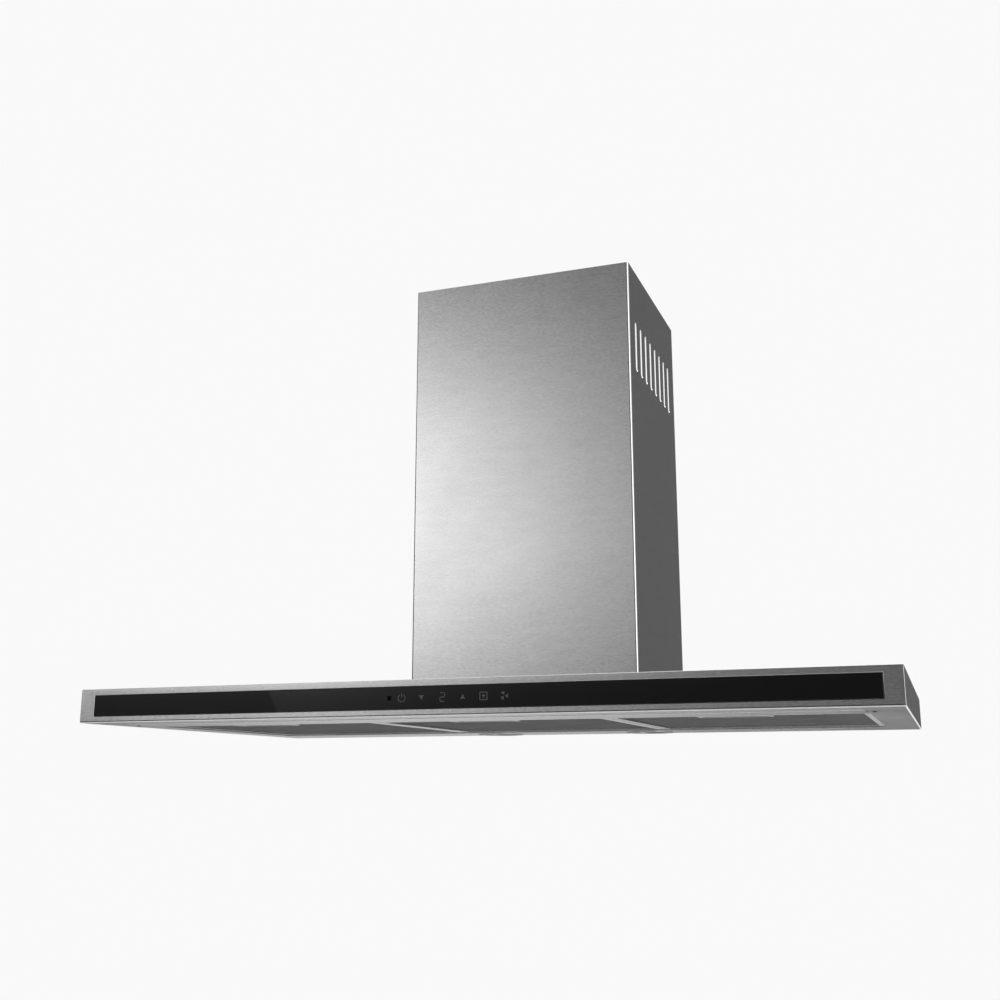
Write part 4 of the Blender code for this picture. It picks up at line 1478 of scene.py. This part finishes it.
    def build_flap(self, side: str) -> None:
        """Half-disc flap with a rolled rim, stiffening ribs and knuckles round the pin.

        Args:
            side: Which of the two flaps, "left" or "right".
        """
        node = f"damper_flap_{side}"
        low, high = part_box(node)
        pin = middle_of("damper_pin")
        sign = -1 if side == "left" else 1
        reach, steps = self.flap_reach, 48
        start = -pi / 2 + 0.066
        turns = [start - 2 * start * i / steps for i in range(steps + 1)]
        edge = [(sign * reach * cos(turn), pin.y + reach * sin(turn)) for turn in turns]
        outline = edge + [(sign * 4.6 * MM, edge[-1][1]), (sign * 4.6 * MM, edge[0][1])]
        leaf = add_plate("leaf", outline, "Z", pin.z - 0.6 * MM, 1.2 * MM)
        soften(leaf, 0.35 * MM, 2, "ANGLE")
        parts = [leaf]
        for y in (pin.y + sign * -45 * MM, pin.y + sign * 15 * MM):
            profile = [(2.35 * MM, -10 * MM), (3.4 * MM, -10 * MM), (3.8 * MM, -9.6 * MM)]
            profile += [(3.8 * MM, 9.6 * MM), (3.4 * MM, 10 * MM), (2.35 * MM, 10 * MM)]
            parts.append(turn_profile("knuckle", profile, (0.0, y, pin.z), "Y", 32))
            arm_x = sorted((sign * 2.9 * MM, sign * 6.0 * MM))
            half, thick = 8 * MM, 0.5 * MM
            arm = add_block("arm", (arm_x[0], y - half, pin.z - thick), (arm_x[1], y + half, pin.z + thick))
            parts.append(soften(arm, 0.2 * MM, 2))
        for distance in (20 * MM, 40 * MM):
            half = (reach**2 - distance**2) ** 0.5 - 8 * MM
            rib = add_block(
                "rib",
                (sign * distance - 0.8 * MM, pin.y - half, pin.z + 0.3 * MM),
                (sign * distance + 0.8 * MM, pin.y + half, pin.z + 2.2 * MM),
            )
            parts.append(soften(rib, 0.5 * MM, 2))
        flap = gather(f"damper_leaf_{side}", *parts)
        shade(flap)
        dress(flap, Finishes.ALUMINIUM, f"damper_{side}", [node])

    def build_gland(self) -> None:
        """Hexagonal cable gland with a domed clamping nut."""
        low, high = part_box("supply_gland")
        centre = middle_of("supply_gland")
        height = high.z - low.z
        hexagon = arc((centre.x, centre.y), 11 * MM, 0.0, 2 * pi, 6)[:-1]
        body = add_plate("hex", hexagon, "Z", low.z, 5 * MM)
        soften(body, 0.7 * MM, 3, "ANGLE")
        carve(body, add_rod("cut", "Z", (centre.x, centre.y, low.z), self.gland_bore, 30 * MM, 48))
        profile = [(self.gland_bore, 4.5 * MM), (7.4 * MM, 4.5 * MM), (7.4 * MM, 7.0 * MM)]
        profile += [(8.0 * MM, 7.2 * MM), (8.0 * MM, height - 5 * MM), (7.3 * MM, height - 2.5 * MM)]
        profile += [(5.9 * MM, height), (self.gland_bore, height)]
        nut = turn_profile("nut", profile, (centre.x, centre.y, low.z), steps=64)
        ridges = []
        for i in range(self.gland_ridges):
            turn = 2 * pi * i / self.gland_ridges
            x, y = centre.x + 7.9 * MM * cos(turn), centre.y + 7.9 * MM * sin(turn)
            ridge = add_rod("ridge", "Z", (x, y, low.z + 10.2 * MM), 0.6 * MM, 5 * MM, 12)
            ridges.append(soften(ridge, 0.2 * MM, 2))
        gland = gather("cable_gland", body, nut, *ridges)
        shade(gland)
        dress(gland, Finishes.BLACK_PLASTIC, "hood", ["supply_gland"])

    def build_fasteners(self) -> None:
        """Pan-head screws round the lid, the collar's flange and the back plate."""
        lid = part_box("fan_cabinet_lid")[1].z
        collar = middle_of("outlet_collar")
        places = [((x, y, lid), "Z") for x in (-0.118, 0.118) for y in (0.020, 0.122, 0.226)]
        for turn in (pi / 4 + pi / 8 + pi / 2 * i for i in range(4)):
            x, y = collar.x + self.screw_ring * cos(turn), collar.y + self.screw_ring * sin(turn)
            places.append(((x, y, lid + 3.3 * MM), "Z"))
        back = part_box("fan_cabinet_back")[1].y
        places += [((x, back, z), "Y") for x in (-0.122, 0.122) for z in (0.060, 0.170, 0.262)]
        heads = [self.screw_head(place, axis) for place, axis in places]
        screws = gather("cabinet_screws", *heads)
        shade(screws)
        dress(screws, Finishes.BRIGHT_STEEL, "hood")

    def screw_head(self, place: Point, axis: str) -> Piece:
        """Domed screw head with a cross recess, standing on a surface.

        Args:
            place: The middle of its seat.
            axis: The axis that it faces along.

        Returns:
            The head.
        """
        profile = [(0.0, 2.2 * MM), (1.6 * MM, 2.0 * MM), (2.9 * MM, 1.3 * MM), (3.3 * MM, 0.4 * MM)]
        profile += [(3.3 * MM, -0.2 * MM), (0.0, -0.2 * MM)]
        head = turn_profile("head", profile[::-1], (0.0, 0.0, 0.0), steps=28)
        slots = [
            add_block("cut", (-a, -b, 1.0 * MM), (a, b, 3 * MM))
            for a, b in ((1.7 * MM, 0.35 * MM), (0.35 * MM, 1.7 * MM))
        ]
        carve(head, *slots)
        turn = Matrix.Rotation(-pi / 2, 4, "X") if axis == "Y" else Matrix.Identity(4)
        head.data.transform(Matrix.Translation(place) @ turn)
        return head


# ----------------------------------------------------------------------- stage
@dataclass
class Studio:
    """Pale floor, soft light all round and the camera."""

    floor_level: float = -1.55
    floor_radius: float = 5.0
    floor_fade: float = 1.5
    floor_white: float = 0.89
    white: float = 0.947
    camera_place: tuple[float, float, float] = (0.4867, -1.4097, -0.0682)
    camera_turn: tuple[float, float, float] = (pi / 2 + 0.230, 0.0, 0.351)
    lens: float = 43.74

    @property
    def backdrop_colour(self) -> tuple[float, float, float, float]:
        """The even colour behind the hood."""
        return (self.white, self.white, self.white, 1.0)

    def build(self) -> None:
        """Set up the floor, the light and the camera."""
        self.build_floor()
        self.build_world()
        self.build_camera()
        bpy.context.scene.view_settings.view_transform = "Standard"

    def build_floor(self) -> None:
        """Pale, matt floor below the hood's hanging height, which runs into the backdrop at its rim."""
        floor = new_primitive(
            bpy.ops.mesh.primitive_circle_add,
            vertices=160,
            radius=self.floor_radius,
            fill_type="NGON",
            location=(0.0, 0.0, self.floor_level),
        )
        settle(floor, "floor")
        material = bpy.data.materials.new("pale_floor")
        material.use_nodes = True
        tree = material.node_tree
        shader = tree.nodes["Principled BSDF"]
        shader.inputs["Base Color"].default_value = (self.floor_white,) * 3 + (1.0,)
        shader.inputs["Roughness"].default_value = 0.9
        place = object_place(tree, (1.0, 1.0, 0.0))
        radius = add_node(tree, "ShaderNodeVectorMath", {0: place}, operation="LENGTH").outputs["Value"]
        rim = add_node(
            tree,
            "ShaderNodeMapRange",
            {"Value": radius, "From Min": self.floor_fade, "From Max": self.floor_radius * 0.97},
            interpolation_type="SMOOTHSTEP",
        ).outputs[0]
        backdrop = add_node(tree, "ShaderNodeEmission", {"Color": self.backdrop_colour}).outputs[0]
        mixed = add_node(tree, "ShaderNodeMixShader", {0: rim, 1: shader.outputs[0], 2: backdrop})
        tree.links.new(mixed.outputs[0], tree.nodes["Material Output"].inputs["Surface"])
        floor.data.materials.append(material)

    def build_camera(self) -> None:
        """Camera a little below the canopy, looking up and to the left."""
        data = bpy.data.cameras.new("camera")
        data.lens = self.lens
        data.sensor_width = 36.0
        data.clip_end = 100.0
        camera = bpy.data.objects.new("camera", data)
        camera.location = self.camera_place
        camera.rotation_euler = self.camera_turn
        bpy.context.scene.collection.objects.link(camera)
        bpy.context.scene.camera = camera

    def build_world(self) -> None:
        """Soft boxes and dim walls round the hood, as a function of direction."""
        world = bpy.data.worlds.new("studio")
        bpy.context.scene.world = world
        world.use_nodes = True
        tree = world.node_tree
        tree.nodes.clear()
        light = StudioLight(tree).radiance()
        shown = add_node(tree, "ShaderNodeBackground", {"Color": self.backdrop_colour, "Strength": 1.0})
        lit = add_node(tree, "ShaderNodeBackground", {"Color": light, "Strength": 1.0})
        seen = add_node(tree, "ShaderNodeLightPath").outputs["Is Camera Ray"]
        mixed = add_node(tree, "ShaderNodeMixShader", {0: seen, 1: lit.outputs[0], 2: shown.outputs[0]})
        add_node(tree, "ShaderNodeOutputWorld", {"Surface": mixed.outputs[0]})


class StudioLight:
    """Light that reaches the hood from each direction.

    Angles are in degrees. Azimuth is 0 straight in front of the hood, negative to
    its left, and elevation is 0 at the horizon.
    """

    def __init__(self, tree: Tree) -> None:
        """Work out azimuth and elevation of the direction.

        Args:
            tree: The world's node tree.
        """
        self.tree = tree
        place = add_node(tree, "ShaderNodeTexCoord")
        parts = add_node(tree, "ShaderNodeSeparateXYZ", {0: place.outputs["Generated"]})
        toward = self.product(parts.outputs["Y"], -1.0)
        self.azimuth = self.product(self.math("ARCTAN2", parts.outputs["X"], toward), 180 / pi)
        self.elevation = self.product(self.math("ARCSINE", parts.outputs["Z"]), 180 / pi)
        self.behind = self.math("ABSOLUTE", self.azimuth)

    def math(self, operation: str, *values: Socket | float) -> Socket:
        """One math node."""
        return calculate(self.tree, operation, *values)

    def product(self, first: Socket, *others: Socket | float) -> Socket:
        """Product of several values."""
        return reduce(lambda so_far, value: self.math("MULTIPLY", so_far, value), others, first)

    def total(self, first: Socket, *others: Socket | float) -> Socket:
        """Sum of several values."""
        return reduce(lambda so_far, value: self.math("ADD", so_far, value), others, first)

    def step(
        self,
        value: Socket,
        start: float,
        end: float,
        low: float = 0.0,
        high: float = 1.0,
        curve: str = "SMOOTHSTEP",
    ) -> Socket:
        """Passage from low to high as a value goes from start to end.

        Args:
            value: The value.
            start: Where the passage starts.
            end: Where it ends, above or below the start.
            low: The result before it.
            high: The result after it.
            curve: "SMOOTHSTEP", or "LINEAR" for a straight one.

        Returns:
            The result.
        """
        sockets = {"Value": value, "From Min": start, "From Max": end, "To Min": low, "To Max": high}
        return add_node(self.tree, "ShaderNodeMapRange", sockets, interpolation_type=curve).outputs["Result"]

    def bell(self, value: Socket, centre: float, width: float) -> Socket:
        """Bell curve about a centre."""
        off = self.math("DIVIDE", self.math("SUBTRACT", value, centre), width)
        return self.math("EXPONENT", self.product(off, off, -0.5))

    def radiance(self) -> Socket:
        """Key box front left, strip at the right, glow behind and a bright ceiling."""
        return self.total(self.key_box(), self.side_strip(), *self.rear(), *self.fill(), 0.10)

    def key_box(self) -> Socket:
        """Large box front left, with a slanted edge at its far side and a dim lower corner."""
        azimuth, elevation = self.azimuth, self.elevation
        slanted = self.total(azimuth, self.product(elevation, 0.488))
        near = self.step(azimuth, -3.0, -28.5, curve="LINEAR")
        ramp = self.math("POWER", near, 1.7)
        beyond = self.product(self.step(slanted, -28.70, -28.86), self.step(elevation, 8.0, 5.5), 0.53)
        edge = self.math("SUBTRACT", 1.0, beyond)
        across = self.product(ramp, edge, self.step(azimuth, -62.0, -31.0))
        upright = self.product(self.step(elevation, -1.0, 10.0), self.step(elevation, 25.8, 12.5))
        upright = self.product(upright, self.step(elevation, 3.3, 7.2, 0.46, 1.10))
        low = self.product(self.step(elevation, 7.2, 4.6), self.step(azimuth, -34.0, -16.0, 0.0, 0.60))
        return self.product(across, self.product(upright, self.math("SUBTRACT", 1.0, low)), 2.13)

    def side_strip(self) -> Socket:
        """Narrow bright strip within a broad soft one, at the right."""
        narrow = self.product(self.bell(self.azimuth, 60.0, 14.0), 2.5)
        broad = self.product(self.bell(self.azimuth, 80.0, 30.0), 0.5)
        below = self.step(self.elevation, 45.0, 20.0)
        return self.product(self.total(narrow, broad), below, self.step(self.azimuth, 14.0, 44.0))

    def rear(self) -> list[Socket]:
        """Wall behind the hood: a bright patch below the horizon and a faint rise above it."""
        wall = self.product(self.step(self.behind, 115.0, 150.0), self.step(self.elevation, 1.5, -1.0))
        wall = self.product(wall, self.product(self.bell(self.azimuth, -156.0, 10.0), 0.43))
        rise = self.step(self.elevation, -1.0, 3.0, -0.03, 0.03)
        return [wall, self.product(self.step(self.behind, 100.0, 140.0), rise)]

    def fill(self) -> list[Socket]:
        """Front glow, ceiling, glow beside and behind the hood, and light from the floor in front."""
        behind, elevation = self.behind, self.elevation
        beside = self.product(self.step(behind, 60.0, 95.0), self.step(behind, 156.0, 138.0))
        high_back = self.step(elevation, 28.0, 48.0, 0.0, 0.42)
        apron = self.step(elevation, -2.0, -11.0, 0.0, 0.50)
        return [
            self.step(behind, 60.0, 15.0, 0.0, 0.035),
            self.step(elevation, 42.0, 72.0, 0.0, 2.4),
            self.product(beside, self.step(elevation, 6.0, 26.0, 0.0, 0.42)),
            self.product(self.step(behind, 60.0, 100.0), high_back),
            self.product(self.step(behind, 60.0, 25.0), apron),
        ]


def main() -> None:
    """Build the stage, then the hood from the canopy upwards."""
    logging.basicConfig(level=logging.INFO, format="%(message)s")
    Studio().build()
    Canopy().build()
    for place in ("left", "centre", "right"):
        GreaseFilter(place).build()
    Chimney().build()
    FanCabinet().build()


if __name__ == "__main__":
    main()
